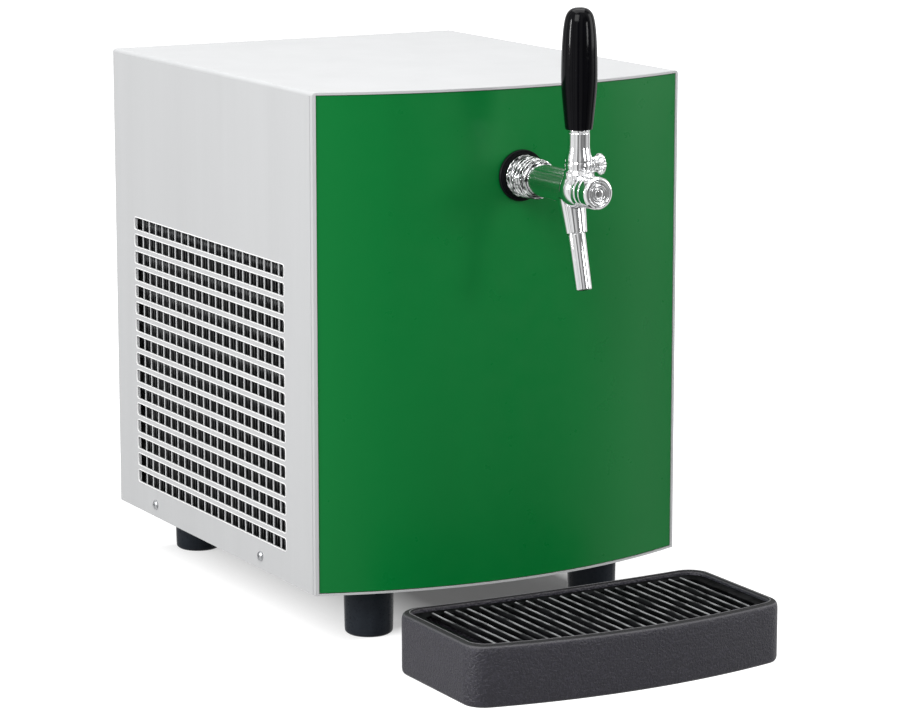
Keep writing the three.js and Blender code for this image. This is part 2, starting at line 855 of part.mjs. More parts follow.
// Tap, in its own place: the origin is where its axis leaves the panel
const collarFront = seatGap * 2 + gasketThickness + collarLength;
const tailBack = collarFront + seatGap - barrelTailLength;
const headEnd = ballReach + headFront;
const seatFront = seatReach + seatWall;
const yokeFront = ballReach + yokeLength / 2;
const yokeBack = ballReach - yokeLength / 2;
const sealBack = seatReach - seatGap - sealThickness;
const bonnetTop = pivotRise + bonnetSplit;
const stemLength = stemTop - pivotRise;
const tipTravel = pivotRise * Math.sin(leverSwing);

function makeGasket() {
  const back = seatGap;
  const front = back + gasketThickness;
  const bore = shankRadius + seatGap;
  return turnedForwards([
    [bore, back],
    [gasketRadius, back],
    [gasketRadius, front - gasketEdge],
    [gasketRadius - gasketEdge, front],
    [bore, front],
    [bore, back],
  ]);
}

function makeCollar() {
  const back = 2 * seatGap + gasketThickness;
  const bore = barrelTailRadius + seatGap;
  const pitch = collarLength / collarRibs;
  const ribs = Array.from({ length: collarRibs }, (_, i) => {
    const start = back + i * pitch;
    const end = start + pitch;
    const groove = end - collarGroove / 2;
    const crest = start + collarGroove / 2;
    return [[collarRadius, crest], [collarRadius, groove], [collarRadius - collarGroove, end]];
  }).flat();
  const outside = [[collarRadius, back], ...ribs];
  return turnedForwards([[bore, back], ...outside, [bore, back + collarLength], [bore, back]]);
}

function makeShank() {
  const front = tailBack - seatGap;
  const back = -shankInside;
  return turnedForwards([
    [shankBore, back - shankBarbLength],
    [shankBarb, back - shankBarbLength],
    [shankBarb, back],
    [shankRadius, back],
    [shankRadius, front],
    [shankBore, front],
    [shankBore, back - shankBarbLength],
  ], 16);
}

function makeShankNut() {
  const sag = bowAt(nutRadius) - bowAt(0);
  const front = -panelThickness - seatGap - sag;
  const back = front - nutLength;
  const bore = turnedForwards(rod(shankRadius + seatGap, back - cutOverrun, front + cutOverrun));
  return cut(turnedForwards(rod(nutRadius, back, front), 6), bore);
}

function makeTapBody() {
  const meet = Math.asin(-Math.sqrt(1 - (barrelRadius / ballRadius) ** 2));
  const leave = Math.acos(capRadius / ballRadius);
  const shell = turnedForwards([
    [0, tailBack],
    [barrelTailRadius, tailBack],
    [barrelTailRadius, collarFront + seatGap],
    [barrelRadius, collarFront + seatGap],
    ...arc(ballRadius, ballReach, meet, leave, 6),
    [capRadius, headEnd],
    [0, headEnd],
  ]);
  const bonnetSeat = block([-ballRadius, -headEnd, 0], [ballRadius, -yokeBack + ballRadius, bonnetTop]);
  const bonnet = common(ball(bonnetRadius, [0, -ballReach, pivotRise], 20), bonnetSeat);
  const neck = turned(rod(bonnetRadius - cupGap, barrelBore, pivotRise), 20).translate(0, -ballReach, 0);
  return cut(join(shell, neck, bonnet), ...tapBores(), ...leverPocket(), knobHole(), ...spoutHole());
}

function tapBores() {
  return [
    turnedForwards(rod(barrelBore, tailBack - cutOverrun, seatReach)),
    turnedForwards(rod(seatHole, seatReach - cutOverrun, seatFront + cutOverrun), 16),
    turnedForwards(rod(barrelBore, seatFront, headEnd + cutOverrun)),
  ];
}

function leverPocket() {
  const radius = leverBall + seatGap;
  const side = leverTip + seatGap;
  const back = -ballReach + tipTravel + side;
  return [
    ball(radius, [0, -ballReach, pivotRise]),
    turned(rod(radius, pivotRise, bonnetTop + cutOverrun), 16).translate(0, -ballReach, 0),
    block([-side, -ballReach - side, yokeRadius / 2], [side, back, pivotRise - leverBall / 2]),
  ];
}

function knobHole() {
  const hole = rod(knobShaft + seatGap, bonnetRadius - knobPocket, bonnetRadius + cutOverrun);
  return turnedRight(hole, 12).translate(0, -ballReach, pivotRise);
}

// Forms of the spout, turned about its own axis, whose top is in the tap's head
function alongSpout(profile, segments = 18) {
  return turned(profile, segments).rotateX(-spoutTilt).translate(0, spoutBack - ballReach, -spoutDrop);
}

function spoutHole() {
  return [
    alongSpout(rod(tubeRadius + seatGap, -ballRadius, seatGap)),
    alongSpout(rod(spoutBore, -cutOverrun, barrelBore), 12),
  ];
}

function makeSleeve() {
  const bore = tubeRadius + seatGap;
  const grooveShares = [0.55, 0.6, 0.65];
  const radiusAt = (share) => sleeveTop + (sleeveFoot - sleeveTop) * share;
  const groove = grooveShares.map((share, i) => {
    return [radiusAt(share) - (i === 1 ? sleeveGroove : 0), -sleeveLength * share];
  }).reverse();
  const sleeve = alongSpout([
    [bore, -sleeveLength],
    [sleeveFoot, -sleeveLength],
    ...groove,
    [sleeveTop, 0],
    [sleeveTop, ballRadius],
    [bore, ballRadius],
    [bore, -sleeveLength],
  ]);
  const clear = turnedForwards(rod(barrelRadius + seatGap, 0, ballReach));
  const above = block([-ballRadius, -headEnd, 0], [ballRadius, 0, 2 * ballRadius]);
  return cut(sleeve, clear, ball(ballRadius + seatGap, [0, -ballReach, 0], 24), above);
}

function makeTube() {
  return alongSpout([
    [spoutBore, -tubeLength],
    [tubeEnd - spoutLip / 2, -tubeLength],
    [tubeEnd, -tubeLength + spoutLip],
    [tubeRadius, -sleeveLength],
    [tubeRadius, 0],
    [spoutBore, 0],
    [spoutBore, -tubeLength],
  ]);
}

function makeFrontCap() {
  const back = headEnd + seatGap;
  const front = headEnd + capLength;
  const faceBack = front - capStep;
  return turnedForwards([
    [0, headEnd - capSpigot],
    [barrelBore - seatGap, headEnd - capSpigot],
    [barrelBore - seatGap, back],
    [capRadius, back],
    [capRadius, faceBack],
    [capRadius - capStep, front],
    [capFace, front],
    [capFace - capStep / 2, faceBack],
    [capBoss, faceBack],
    [capBoss - capStep / 2, front],
    [0, front],
  ]);
}

function makeBonnet() {
  const low = bonnetTop + seatGap;
  const side = leverNeck + 2 * seatGap;
  const reach = bonnetRadius * Math.sin(leverSwing) + leverNeck / Math.cos(leverSwing) + seatGap;
  const back = -ballReach + ballRadius;
  const above = block([-ballRadius, -headEnd, low], [ballRadius, back, low + bonnetRadius]);
  const top = common(ball(bonnetRadius, [0, -ballReach, pivotRise], 20), above);
  const inside = ball(leverBall + seatGap, [0, -ballReach, pivotRise]);
  const slotTop = pivotRise + 2 * bonnetRadius;
  const slot = block([-side, -ballReach - reach, pivotRise], [side, -ballReach + side, slotTop]);
  return cut(top, inside, slot);
}

function makePiston() {
  const rodPiece = turnedForwards([
    [0, sealBack - pistonHeadLength],
    [pistonHead, sealBack - pistonHeadLength],
    [pistonHead, sealBack - seatGap],
    [pistonRod, sealBack - seatGap],
    [pistonRod, yokeBack],
    [yokeRadius, yokeBack],
    [yokeRadius, yokeFront],
    [0, yokeFront],
  ], 16);
  const side = leverTip + seatGap;
  const window = block([-side, -ballReach - side, -side], [side, -ballReach + side, barrelBore]);
  const lean = tipTravel * (yokeRadius / pivotRise) + leverShaft + 2 * seatGap;
  const swingRoom = block([-side, -ballReach - lean, leverTip], [side, -ballReach + side, barrelBore]);
  return cut(rodPiece, window, swingRoom);
}

function makeSeal() {
  return turnedForwards(ring(pistonRod + seatGap, sealRadius, sealBack, sealBack + sealThickness), 16);
}

// The lever's origin is its pivot
function makeLever() {
  const cup = bonnetRadius + cupGap;
  const angleOn = (radius, width) => Math.acos(width / radius);
  const rim = cup * Math.sin(angleOn(cup, stemFlare));
  return turned([
    ...arc(leverTip, -pivotRise, -Math.PI / 2, angleOn(leverTip, leverShaft), 4),
    ...arc(leverBall, 0, -angleOn(leverBall, leverShaft), angleOn(leverBall, leverNeck), 6),
    ...arc(cup, 0, angleOn(cup, leverNeck), angleOn(cup, stemFlare), 3),
    [stemFlare, rim + stemFlareHeight / 2],
    [stemRadius, rim + 2 * stemFlareHeight],
    [stemRadius, stemLength],
    [handleSpigot, stemLength],
    [handleSpigot, stemLength + handleSpigotLength],
    [0, stemLength + handleSpigotLength],
  ], 16);
}

function makeHandle() {
  // Radius as a share of the widest, height as a share of the length
  const outlineShares = [
    [0.71, 0],
    [0.77, 0.015],
    [0.85, 0.13],
    [0.92, 0.24],
    [0.98, 0.35],
    [1, 0.47],
    [0.975, 0.64],
    [0.94, 0.74],
    [0.89, 0.83],
    [0.8, 0.91],
    [0.66, 0.96],
    [0.4, 0.992],
    [0, 1],
  ];
  const bore = handleSpigot + seatGap;
  const boreTop = handleSpigotLength + seatGap;
  const outline = outlineShares.map(([wide, high]) => [wide * handleRadius, high * handleLength]);
  return turned([[0, boreTop], [bore, boreTop], [bore, 0], ...outline]);
}

function makeKnob() {
  const back = bonnetRadius + knobStandOff;
  const front = back + knobLength;
  const profile = [
    [0, bonnetRadius - knobPocket + seatGap],
    [knobShaft, bonnetRadius - knobPocket + seatGap],
    [knobShaft, back],
    [knobRadius, back],
    [knobRadius, front - knobFlute],
    [knobRadius - knobFlute, front],
    [0, front],
  ];
  const grips = flutes(knobFlutes, knobRadius, knobFlute, (y, z, radius) => {
    return turnedRight(rod(radius, back - cutOverrun, front + cutOverrun), 6).translate(0, y, z);
  });
  return cut(turnedRight(profile), ...grips);
}

function makeTap() {
  const pivot = [0, -ballReach, pivotRise];
  return group(
    [0, panelFace, tapHeight],
    piece("shank_gasket", makeGasket(), rubber),
    piece("shank_collar", makeCollar(), chrome),
    piece("tap_shank", makeShank(), chrome),
    piece("shank_nut", makeShankNut(), zinc),
    piece("tap_body", makeTapBody(), chrome),
    piece("tap_bonnet", makeBonnet(), chrome),
    piece("tap_front_cap", makeFrontCap(), chrome),
    piece("tap_piston", makePiston(), zinc),
    piece("piston_seal", makeSeal(), rubber),
    piece("spout_sleeve", makeSleeve(), chrome),
    piece("spout_tube", makeTube(), chrome),
    piece("flow_knob", makeKnob(), chrome, pivot),
    piece("tap_lever", makeLever(), chrome, pivot),
    piece("tap_handle", makeHandle(), glossBlack, [0, -ballReach, stemTop + seatGap]),
  );
}

// Drip tray
function bowRadiusOf(width, bow) {
  return ((width / 2) ** 2 + bow ** 2) / (2 * bow);
}

// How far a bow stands out at a distance from the middle
function bowStand(width, bow, x) {
  const radius = bowRadiusOf(width, bow);
  return Math.sqrt(radius ** 2 - x ** 2) - (radius - bow);
}

function trayOutline(inset) {
  const corner = trayCorner - inset / 2;
  const cornerX = trayWidth / 2 - inset - corner;
  const quarter = Math.PI / 2;
  // The front corners' circles touch both the side and the bowed front
  const frontRadius = bowRadiusOf(trayWidth, trayBow);
  const frontCentre = trayBack - trayDepth - trayBow + frontRadius;
  const front = frontRadius - inset;
  const frontAngle = Math.asin(cornerX / (front - corner));
  const frontY = frontCentre - (front - corner) * Math.cos(frontAngle);
  // The back corners' circles touch the side and the back, which is bowed inwards
  const backRadius = bowRadiusOf(trayWidth, trayBackBow);
  const backCentre = trayBack - trayBackBow + backRadius;
  const back = backRadius + inset;
  const backAngle = Math.asin(cornerX / (back + corner));
  const backY = backCentre - (back + corner) * Math.cos(backAngle);
  const shape = new THREE.Shape();
  shape.absarc(0, frontCentre, front, -quarter - frontAngle, -quarter + frontAngle, false);
  shape.absarc(cornerX, frontY, corner, -quarter + frontAngle, 0, false);
  shape.absarc(cornerX, backY, corner, 0, quarter + backAngle, false);
  shape.absarc(0, backCentre, back, -quarter + backAngle, -quarter - backAngle, true);
  shape.absarc(-cornerX, backY, corner, quarter - backAngle, 2 * quarter, false);
  shape.absarc(-cornerX, frontY, corner, 2 * quarter, 3 * quarter - frontAngle, false);
  return shape;
}

function makeTray() {
  const body = new THREE.ExtrudeGeometry(trayOutline(0), {
    depth: trayHeight - 2 * trayRound,
    bevelThickness: trayRound,
    bevelSize: trayRound,
    bevelOffset: -trayRound,
    bevelSegments: 2,
    curveSegments: 3,
  }).translate(0, 0, trayRound);
  const seat = trayHeight - grateRecess - grateThickness;
  const rebate = raise(trayOutline(trayWall), seat, trayHeight + cutOverrun, 3);
  const basin = raise(trayOutline(trayWall + grateLedge), trayFloor, trayHeight, 3);
  return cut(body, rebate, basin);
}

function makeGrate() {
  const seat = trayHeight - grateRecess - grateThickness + seatGap;
  const plate = raise(trayOutline(trayWall + seatGap), seat, trayHeight - grateRecess, 3);
  const inset = trayWall + grateLedge + grateBorder;
  const span = trayWidth - 2 * inset;
  const pitch = span / grateSlots;
  const rib = pitch * grateRibShare;
  const slots = Array.from({ length: grateSlots }, (_, i) => {
    const left = -span / 2 + i * pitch + rib / 2;
    const middle = left + (pitch - rib) / 2;
    const front = trayBack - trayDepth - bowStand(trayWidth, trayBow, middle) + inset;
    const back = trayBack - bowStand(trayWidth, trayBackBow, middle) - inset;
    return block([left, front, seat - cutOverrun], [left + pitch - rib, back, trayHeight]);
  });
  return cut(plate, ...slots);
}

// Keg bay and what it holds
function makeBay() {
  const back = rearInner - seatGap;
  const outside = block(
    [bayLeft - bayWall, -bayFront, bayBottom],
    [bayRight + bayWall, back, bayCeiling + bayWall],
  );
  const inside = block([bayLeft, bayInsideFront, bayFloor], [bayRight, back + cutOverrun, bayCeiling]);
  const skids = [-skidSpread, skidSpread].map((spread) => {
    const left = bayCentre + spread - skidWidth / 2;
    const right = left + skidWidth;
    return block([left, -bayFront, insideFloor + seatGap], [right, back, bayBottom + cutOverrun]);
  });
  const through = [-bayFront - cutOverrun, bayInsideFront + cutOverrun];
  const hole = (x, z, radius) => runAlongY(circle(x, z, radius), ...through);
  const pipeHole = pipeRadius + 2 * seatGap;
  return cut(
    join(outside, ...skids),
    inside,
    hole(bayCentre, lineHeight, lineRadius + lineClearance),
    hole(compressorAside + stubSpread, stubTop + suctionRise, pipeHole),
    hole(liquidAside, underside + liquidRise, pipeHole),
  );
}

function evaporatorOutline(thickness) {
  const outer = bayWidth / 2 - seatGap;
  const inner = outer - thickness;
  const front = bayInsideFront + seatGap;
  const back = rearInner - evaporatorBackInset;
  return polygon([
    [bayCentre - outer, front],
    [bayCentre + outer, front],
    [bayCentre + outer, back],
    [bayCentre + inner, back],
    [bayCentre + inner, front + thickness],
    [bayCentre - inner, front + thickness],
    [bayCentre - inner, back],
    [bayCentre - outer, back],
  ]);
}

function makeEvaporator() {
  const bottom = bayFloor + evaporatorRise;
  const plate = raise(evaporatorOutline(evaporatorThickness), bottom, bottom + evaporatorHeight);
  const pitch = evaporatorHeight / channelCount;
  const channels = Array.from({ length: channelCount }, (_, i) => {
    const low = bottom + (i + 1 / 2) * pitch - channelHeight / 2;
    return raise(evaporatorOutline(evaporatorThickness + channelStand), low, low + channelHeight);
  });
  return join(plate, ...channels);
}

function makeHolder() {
  const half = couplerFlange + seatGap + holderThickness;
  const gap = couplerRadius + seatGap;
  const fork = new THREE.Shape();
  fork.moveTo(-half, -half).lineTo(half, -half).lineTo(half, holderBack).lineTo(gap, holderBack);
  fork.absarc(0, 0, gap, 0, -Math.PI, true);
  fork.lineTo(-gap, holderBack).lineTo(-half, holderBack);
  const plate = raise(fork, -holderThickness, 0, 6);
  const top = holderDrop - seatGap;
  const arms = [-half, half - holderThickness].map((left) => {
    return block([left, -holderArm / 2, -holderThickness], [left + holderThickness, holderArm / 2, top]);
  });
  return join(plate, ...arms);
}

function makeCoupler() {
  return turned([
    [couplerBore, -couplerBelow],
    [couplerRadius, -couplerBelow],
    [couplerRadius, seatGap],
    [couplerFlange, seatGap],
    [couplerFlange, couplerFlangeThickness],
    [couplerNeck, couplerFlangeThickness],
    [couplerNeck, couplerNeckHeight],
    [couplerBarb, couplerNeckHeight],
    [couplerBarb, couplerAbove],
    [couplerBore, couplerAbove],
    [couplerBore, -couplerBelow],
  ], 16);
}

function makeBeerLine() {
  const start = couplerSeat + couplerAbove + seatGap;
  const turn = lineHeight - start;
  const end = panelFace + shankInside + shankBarbLength + seatGap;
  const run = -bayFront - end;
  // Forwards and upwards, as shares of the turn over the coupler
  const turnShares = [[0, 0], [0, 0.33], [0.5, 0.88], [2, 1]];
  // Aside, backwards and upwards, as shares of the way from the shank to the bay
  const wayShares = [[0.6, 0.55, 0.5], [0, 0.2, 0], [0, 0, 0]];
  const rise = lineHeight - tapHeight;
  const way = wayShares.map(([aside, back, high]) => {
    return [bayCentre * aside, end + run * back, tapHeight + rise * high];
  });
  return pipe([
    ...turnShares.map(([ahead, high]) => [bayCentre, kegAlong - turn * ahead, start + turn * high]),
    [bayCentre, bayInsideFront + bayWall, lineHeight],
    [bayCentre, -bayFront - bayWall, lineHeight],
    ...way,
  ], lineRadius, 26);
}

function makeKegBay() {
  const kegPlace = [bayCentre, kegAlong, bayFloor + seatGap];
  const couplerPlace = [bayCentre, kegAlong, couplerSeat];
  return group(
    [0, 0, 0],
    piece("keg_bay", makeBay(), whitePlastic),
    piece("evaporator", makeEvaporator(), aluminium),
    piece("keg_mat", turned(ring(matHole, matRadius, 0, matThickness)), rubber, kegPlace),
    piece("coupler_holder", makeHolder(), zinc, couplerPlace),
    piece("keg_coupler", makeCoupler(), glossBlack, couplerPlace),
    piece("beer_line", makeBeerLine(), hose),
  );
}

// Cooling: condenser, fan, compressor and pipes
function makeCondenser() {
  const front = -grilleFront - condenserMargin;
  const back = grilleBack + condenserMargin;
  const pack = block(
    [condenserLeft, front, insideFloor + seatGap],
    [condenserRight, back, grilleTop + condenserMargin],
  );
  const pitch = (back - front) / finCount;
  const fin = pitch * finShare;
  const gaps = Array.from({ length: finCount }, (_, i) => {
    const start = front + i * pitch + fin / 2;
    return block(
      [condenserLeft - cutOverrun, start, grilleBottom - guardMargin],
      [condenserRight + cutOverrun, start + pitch - fin, grilleTop + guardMargin / 2],
    );
  });
  return cut(pack, ...gaps);
}

// The fan's origin is on its axis, where the frame meets the condenser
function makeFanFrame() {
  const half = fanSize / 2;
  const shape = roundedRectangle(-half, -half, half, half, fanCorner);
  shape.holes.push(circle(0, 0, fanHole));
  const frame = runAlongX(shape, seatGap, fanThickness, 8);
  const from = fanThickness - fanStrutDepth;
  const strut = fanStrut / 2;
  const across = block([from, -fanHole - cutOverrun, -strut], [fanThickness, fanHole + cutOverrun, strut]);
  const upright = block([from, -strut, -fanHole - cutOverrun], [fanThickness, strut, fanHole + cutOverrun]);
  const hub = turnedRight(rod(fanHub, from, fanThickness), 14);
  const bearing = turnedRight(rod(fanAxle + seatGap, 0, fanThickness + cutOverrun), 8);
  return cut(join(frame, across, upright, hub), bearing);
}

function makeRotor() {
  const front = fanFrontGap;
  const back = fanThickness - fanStrutDepth - seatGap;
  const middle = (front + back) / 2;
  const hub = turnedRight([
    [0, front],
    [fanHub, front],
    [fanHub, back],
    [fanAxle, back],
    [fanAxle, fanThickness - seatGap],
    [0, fanThickness - seatGap],
  ], 14);
  const blades = Array.from({ length: fanBlades }, (_, i) => {
    const root = fanHub - cutOverrun;
    const tip = fanHole - bladeTipGap;
    const blade = new THREE.BoxGeometry(bladeWidth, bladeThickness, tip - root);
    blade.rotateZ(bladeTwist).translate(middle, 0, (root + tip) / 2);
    return blade.rotateX((2 * Math.PI * i) / fanBlades);
  });
  return join(hub, ...blades);
}

// The compressor's origin is the middle of its foot
function makeCompressor() {
  // Radius as a share of the pot's, height as a share of the whole
  const lowerShares = [[0, 0], [0.6, 0], [0.88, 0.07], [1, 0.18], [1, 0.5]];
  const upperShares = [[1, 0.56], [1, 0.78], [0.93, 0.89], [0.72, 0.96], [0.4, 1], [0, 1]];
  const sized = ([wide, high]) => [wide * compressorRadius, high * compressorHeight];
  const skirt = compressorRadius + compressorSkirt;
  const seam = compressorHeight / 2;
  const pot = turned([
    ...lowerShares.map(sized),
    [skirt, seam],
    [skirt, seam + skirtThickness],
    [compressorRadius, seam + skirtThickness],
    ...upperShares.map(sized),
  ], 16);
  const stubFootShare = 0.9;
  const stub = rod(stubRadius, compressorHeight * stubFootShare, compressorHeight + stubHeight);
  const stubs = [-stubSpread, stubSpread].map((x) => turned(stub, 8).translate(x, 0, 0));
  return join(pot, ...stubs);
}

// The mount's origin is on the cabinet's floor, under the compressor
function makeMount() {
  const half = mountSize / 2;
  const top = mountRise + mountThickness;
  const plate = raise(roundedRectangle(-half, -half, half, half, mountPad), mountRise, top, 2);
  const inset = half - mountPadInset;
  const pads = [[-inset, -inset], [inset, -inset], [inset, inset], [-inset, inset]].map(([x, y]) => {
    return turned(rod(mountPad, seatGap, mountRise + mountThickness / 2), 10).translate(x, y, 0);
  });
  return join(plate, ...pads);
}

function makeSuctionPipe() {
  const x = compressorAside + stubSpread;
  const rise = stubTop + suctionRise;
  const run = compressorAlong - bayFront;
  // Backwards and upwards, as shares of the way to the bay and of the rise
  const bendShares = [[0, 0.5], [0.2, 0.88], [0.5, 1]];
  return pipe([
    [x, -compressorAlong, stubTop + seatGap],
    ...bendShares.map(([back, high]) => [x, -compressorAlong + run * back, stubTop + suctionRise * high]),
    [x, -bayFront, rise],
    [x, bayInsideFront, rise],
  ], pipeRadius, 14, 6);
}

function makeDischargePipe() {
  const x = compressorAside - stubSpread;
  const end = condenserRight + seatGap;
  const port = grilleTop - dischargePortDrop + dischargePortBend;
  const rise = port - dischargePortBend - stubTop;
  // To the left and upwards, as shares of the way to the condenser and of the rise
  const wayShares = [[0, 0.12], [0.2, 0.5]];
  const lastShare = 0.75;
  return pipe([
    [x, -compressorAlong, stubTop + seatGap],
    ...wayShares.map(([left, high]) => [x + (end - x) * left, -compressorAlong, stubTop + rise * high]),
    [x + (end - x) * lastShare, -condenserPortAlong, stubTop + rise],
    [end + condenserPortReach, -condenserPortAlong, port],
    [end, -condenserPortAlong, port],
  ], pipeRadius, 18, 6);
}

function makeLiquidLine() {
  const start = condenserRight + seatGap;
  const port = insideFloor + condenserMargin;
  const height = underside + liquidRise;
  const run = liquidAside - start;
  const ahead = condenserPortAlong - bayFront;
  // To the right and backwards, as shares of the way to the bay
  const [rightShare, backShare] = [0.88, 0.3];
  return pipe([
    [start, -condenserPortAlong, port],
    [start + condenserPortReach, -condenserPortAlong, port],
    [start + run / 2, -condenserPortAlong, (port + height) / 2],
    [start + run * rightShare, -condenserPortAlong + ahead * backShare, height],
    [liquidAside, -bayFront - bayWall, height],
    [liquidAside, -bayFront, height],
    [liquidAside, bayInsideFront, height],
  ], pipeRadius, 18, 6);
}

function makeCooling() {
  const fanPlace = [condenserRight, (grilleBack - grilleFront) / 2, underside + fanRise];
  return group(
    [0, 0, 0],
    piece("condenser", makeCondenser(), darkPaint),
    piece("fan_frame", makeFanFrame(), glossBlack, fanPlace),
    piece("fan_rotor", makeRotor(), glossBlack, fanPlace),
    piece("compressor", makeCompressor(), darkPaint, [compressorAside, -compressorAlong, compressorFoot]),
    piece("compressor_mount", makeMount(), rubber, [compressorAside, -compressorAlong, insideFloor]),
    piece("suction_pipe", makeSuctionPipe(), copper),
    piece("discharge_pipe", makeDischargePipe(), copper),
    piece("liquid_line", makeLiquidLine(), copper),
  );
}

// Keg door and its hinges
function hingeHeights() {
  return [doorBottom + hingeInset, doorTop - hingeInset];
}

function makeDoor() {
  const outline = roundedRectangle(doorLeft, doorBottom, doorRight, doorTop, doorCorner);
  const slab = runAlongY(outline, doorInner, doorOuter, 2);
  const bore = hingePin + seatGap;
  const ears = hingeHeights().flatMap((height) => {
    const bottom = height - hingeEar / 2;
    const top = height + hingeEar / 2;
    const arm = block(
      [doorRight - cutOverrun, hingeY - hingeKnuckle + 2 * seatGap, bottom],
      [hingeX, hingeY + hingeKnuckle, top],
    );
    return [arm, turned(rod(hingeKnuckle, bottom, top), 16).translate(hingeX, hingeY, 0)];
  });
  const bores = hingeHeights().map((height) => {
    return turned(rod(bore, height - hingeEar, height + hingeEar), 12).translate(hingeX, hingeY, 0);
  });
  return cut(join(slab, ...ears), ...bores);
}

// A hinge's origin is the middle of its pin
function makeHinge() {
  const outer = hingeEar / 2 + hingeLug;
  const inner = hingeEar / 2 + seatGap;
  const plateBack = -hingeStandOff + seatGap;
  const leaf = block([-hingeKnuckle, plateBack, -outer], [hingeKnuckle, plateBack + leafThickness, outer]);
  const lugs = [[-outer, -inner], [inner, outer]].flatMap(([bottom, top]) => [
    block([-hingeKnuckle, plateBack, bottom], [hingeKnuckle, 0, top]),
    turned(rod(hingeKnuckle, bottom, top), 16),
  ]);
  return join(leaf, ...lugs, turned(rod(hingePin, -outer, outer), 12));
}

function makeDoorLiner() {
  const halfX = bayWidth / 2 - linerInset;
  const bottom = bayFloor + linerInset;
  const top = bayCeiling - linerInset;
  const inner = halfDepth - linerReach;
  const plug = roundedRectangle(bayCentre - halfX, bottom, bayCentre + halfX, top, doorCorner);
  const dish = roundedRectangle(
    bayCentre - halfX + linerRim,
    bottom + linerRim,
    bayCentre + halfX - linerRim,
    top - linerRim,
    doorCorner,
  );
  return cut(
    runAlongY(plug, inner, doorInner - seatGap, 2),
    runAlongY(dish, inner - cutOverrun, inner + linerDish, 2),
  );
}

function makeDoorGasket() {
  const hole = openingMargin + seatGap;
  const edge = hole + gasketWidth;
  const around = (margin) => [bayLeft - margin, bayFloor - margin, bayRight + margin, bayCeiling + margin];
  const shape = roundedRectangle(...around(edge), doorCorner);
  shape.holes.push(rectangle(...around(hole)));
  return runAlongY(shape, halfDepth + seatGap, doorInner - seatGap, 2);
}

// The pull's origin is on the door's outer face
function makePull() {
  const half = pullLength / 2;
  const side = pullWidth / 2;
  const face = seatGap + pullStand;
  const grip = block([-side, face, -half], [side, face + pullThickness, half]);
  const posts = [-half, half - pullWidth].map((bottom) => {
    return block([-side, seatGap, bottom], [side, face + pullThickness / 2, bottom + pullWidth]);
  });
  return join(grip, ...posts);
}

function makeDoorGroup() {
  const [low, high] = hingeHeights();
  const pullPlace = [doorLeft + pullInset, doorOuter, (doorBottom + doorTop) / 2];
  return group(
    [0, 0, 0],
    piece("keg_door", makeDoor(), steel),
    piece("door_liner", makeDoorLiner(), whitePlastic),
    piece("door_gasket", makeDoorGasket(), rubber),
    piece("door_pull", makePull(), glossBlack, pullPlace),
    piece("hinge_lower", makeHinge(), zinc, [hingeX, hingeY, low]),
    piece("hinge_upper", makeHinge(), zinc, [hingeX, hingeY, high]),
  );
}

const kegDispenser = group(
  [0, -(frontMost + rearMost) / 2, 0],
  piece("cabinet_wrap", makeWrap(), steel),
  piece("base_pan", makeBasePan(), steel),
  piece("front_frame", makeFrontFrame(), steel),
  piece("front_panel", makeFrontPanel(), green),
  piece("grille_guard", makeGuard(), steel),
  makeFeetAndScrews(),
  makeRearFittings(),
  makeTap(),
  piece("drip_tray", makeTray(), trayPlastic),
  piece("drip_grate", makeGrate(), gratePlastic),
  makeKegBay(),
  makeCooling(),
  makeDoorGroup(),
);

export default kegDispenser;
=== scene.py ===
"""Looks of the mini keg beer dispenser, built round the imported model."""

import json
import math

import bmesh
import bpy
from mathutils import Matrix, Vector, noise

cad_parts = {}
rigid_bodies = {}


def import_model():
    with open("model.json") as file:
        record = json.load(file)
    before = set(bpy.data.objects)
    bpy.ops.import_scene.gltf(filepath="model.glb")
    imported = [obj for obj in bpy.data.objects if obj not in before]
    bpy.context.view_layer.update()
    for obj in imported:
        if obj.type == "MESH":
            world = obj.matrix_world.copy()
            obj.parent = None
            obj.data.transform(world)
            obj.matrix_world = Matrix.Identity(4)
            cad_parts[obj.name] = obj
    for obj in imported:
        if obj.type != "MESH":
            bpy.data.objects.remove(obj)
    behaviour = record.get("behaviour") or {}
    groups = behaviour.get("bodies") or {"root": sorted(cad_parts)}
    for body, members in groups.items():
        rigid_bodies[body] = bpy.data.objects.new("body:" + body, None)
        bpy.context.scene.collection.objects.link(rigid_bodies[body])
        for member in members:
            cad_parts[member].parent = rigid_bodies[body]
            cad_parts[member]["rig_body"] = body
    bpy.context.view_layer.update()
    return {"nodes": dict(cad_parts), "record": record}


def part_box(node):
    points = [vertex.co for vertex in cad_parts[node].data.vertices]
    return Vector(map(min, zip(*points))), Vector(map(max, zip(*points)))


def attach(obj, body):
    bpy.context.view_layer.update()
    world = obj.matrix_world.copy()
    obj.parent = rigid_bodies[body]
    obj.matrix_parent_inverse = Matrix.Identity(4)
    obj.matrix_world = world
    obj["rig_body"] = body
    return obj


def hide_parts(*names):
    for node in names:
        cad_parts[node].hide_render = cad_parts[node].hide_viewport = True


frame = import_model()
nodes = frame["nodes"]

MM = 0.001
QUARTER = math.pi / 2

# Sizes of the part are in millimetres, with heights from the floor and Y from the cabinet's middle
BOW_STAND = 34
WRAP_LOW, WRAP_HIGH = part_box("cabinet_wrap")
HALF_WIDTH = round(WRAP_HIGH[0] / MM, 3)
HALF_DEPTH = round((WRAP_HIGH[1] - WRAP_LOW[1]) / MM - BOW_STAND, 3) / 2
UNDERSIDE = round(WRAP_LOW[2] / MM, 3)
ROOF = round(WRAP_HIGH[2] / MM, 3)
# From the middle of the model to the middle of the cabinet along Y, in metres
SHIFT = WRAP_HIGH[1] - HALF_DEPTH * MM


def at(x, y, z):
    """A point in metres, from millimetres off the middle of the cabinet at floor level."""
    return Vector((x * MM, y * MM + SHIFT, z * MM))


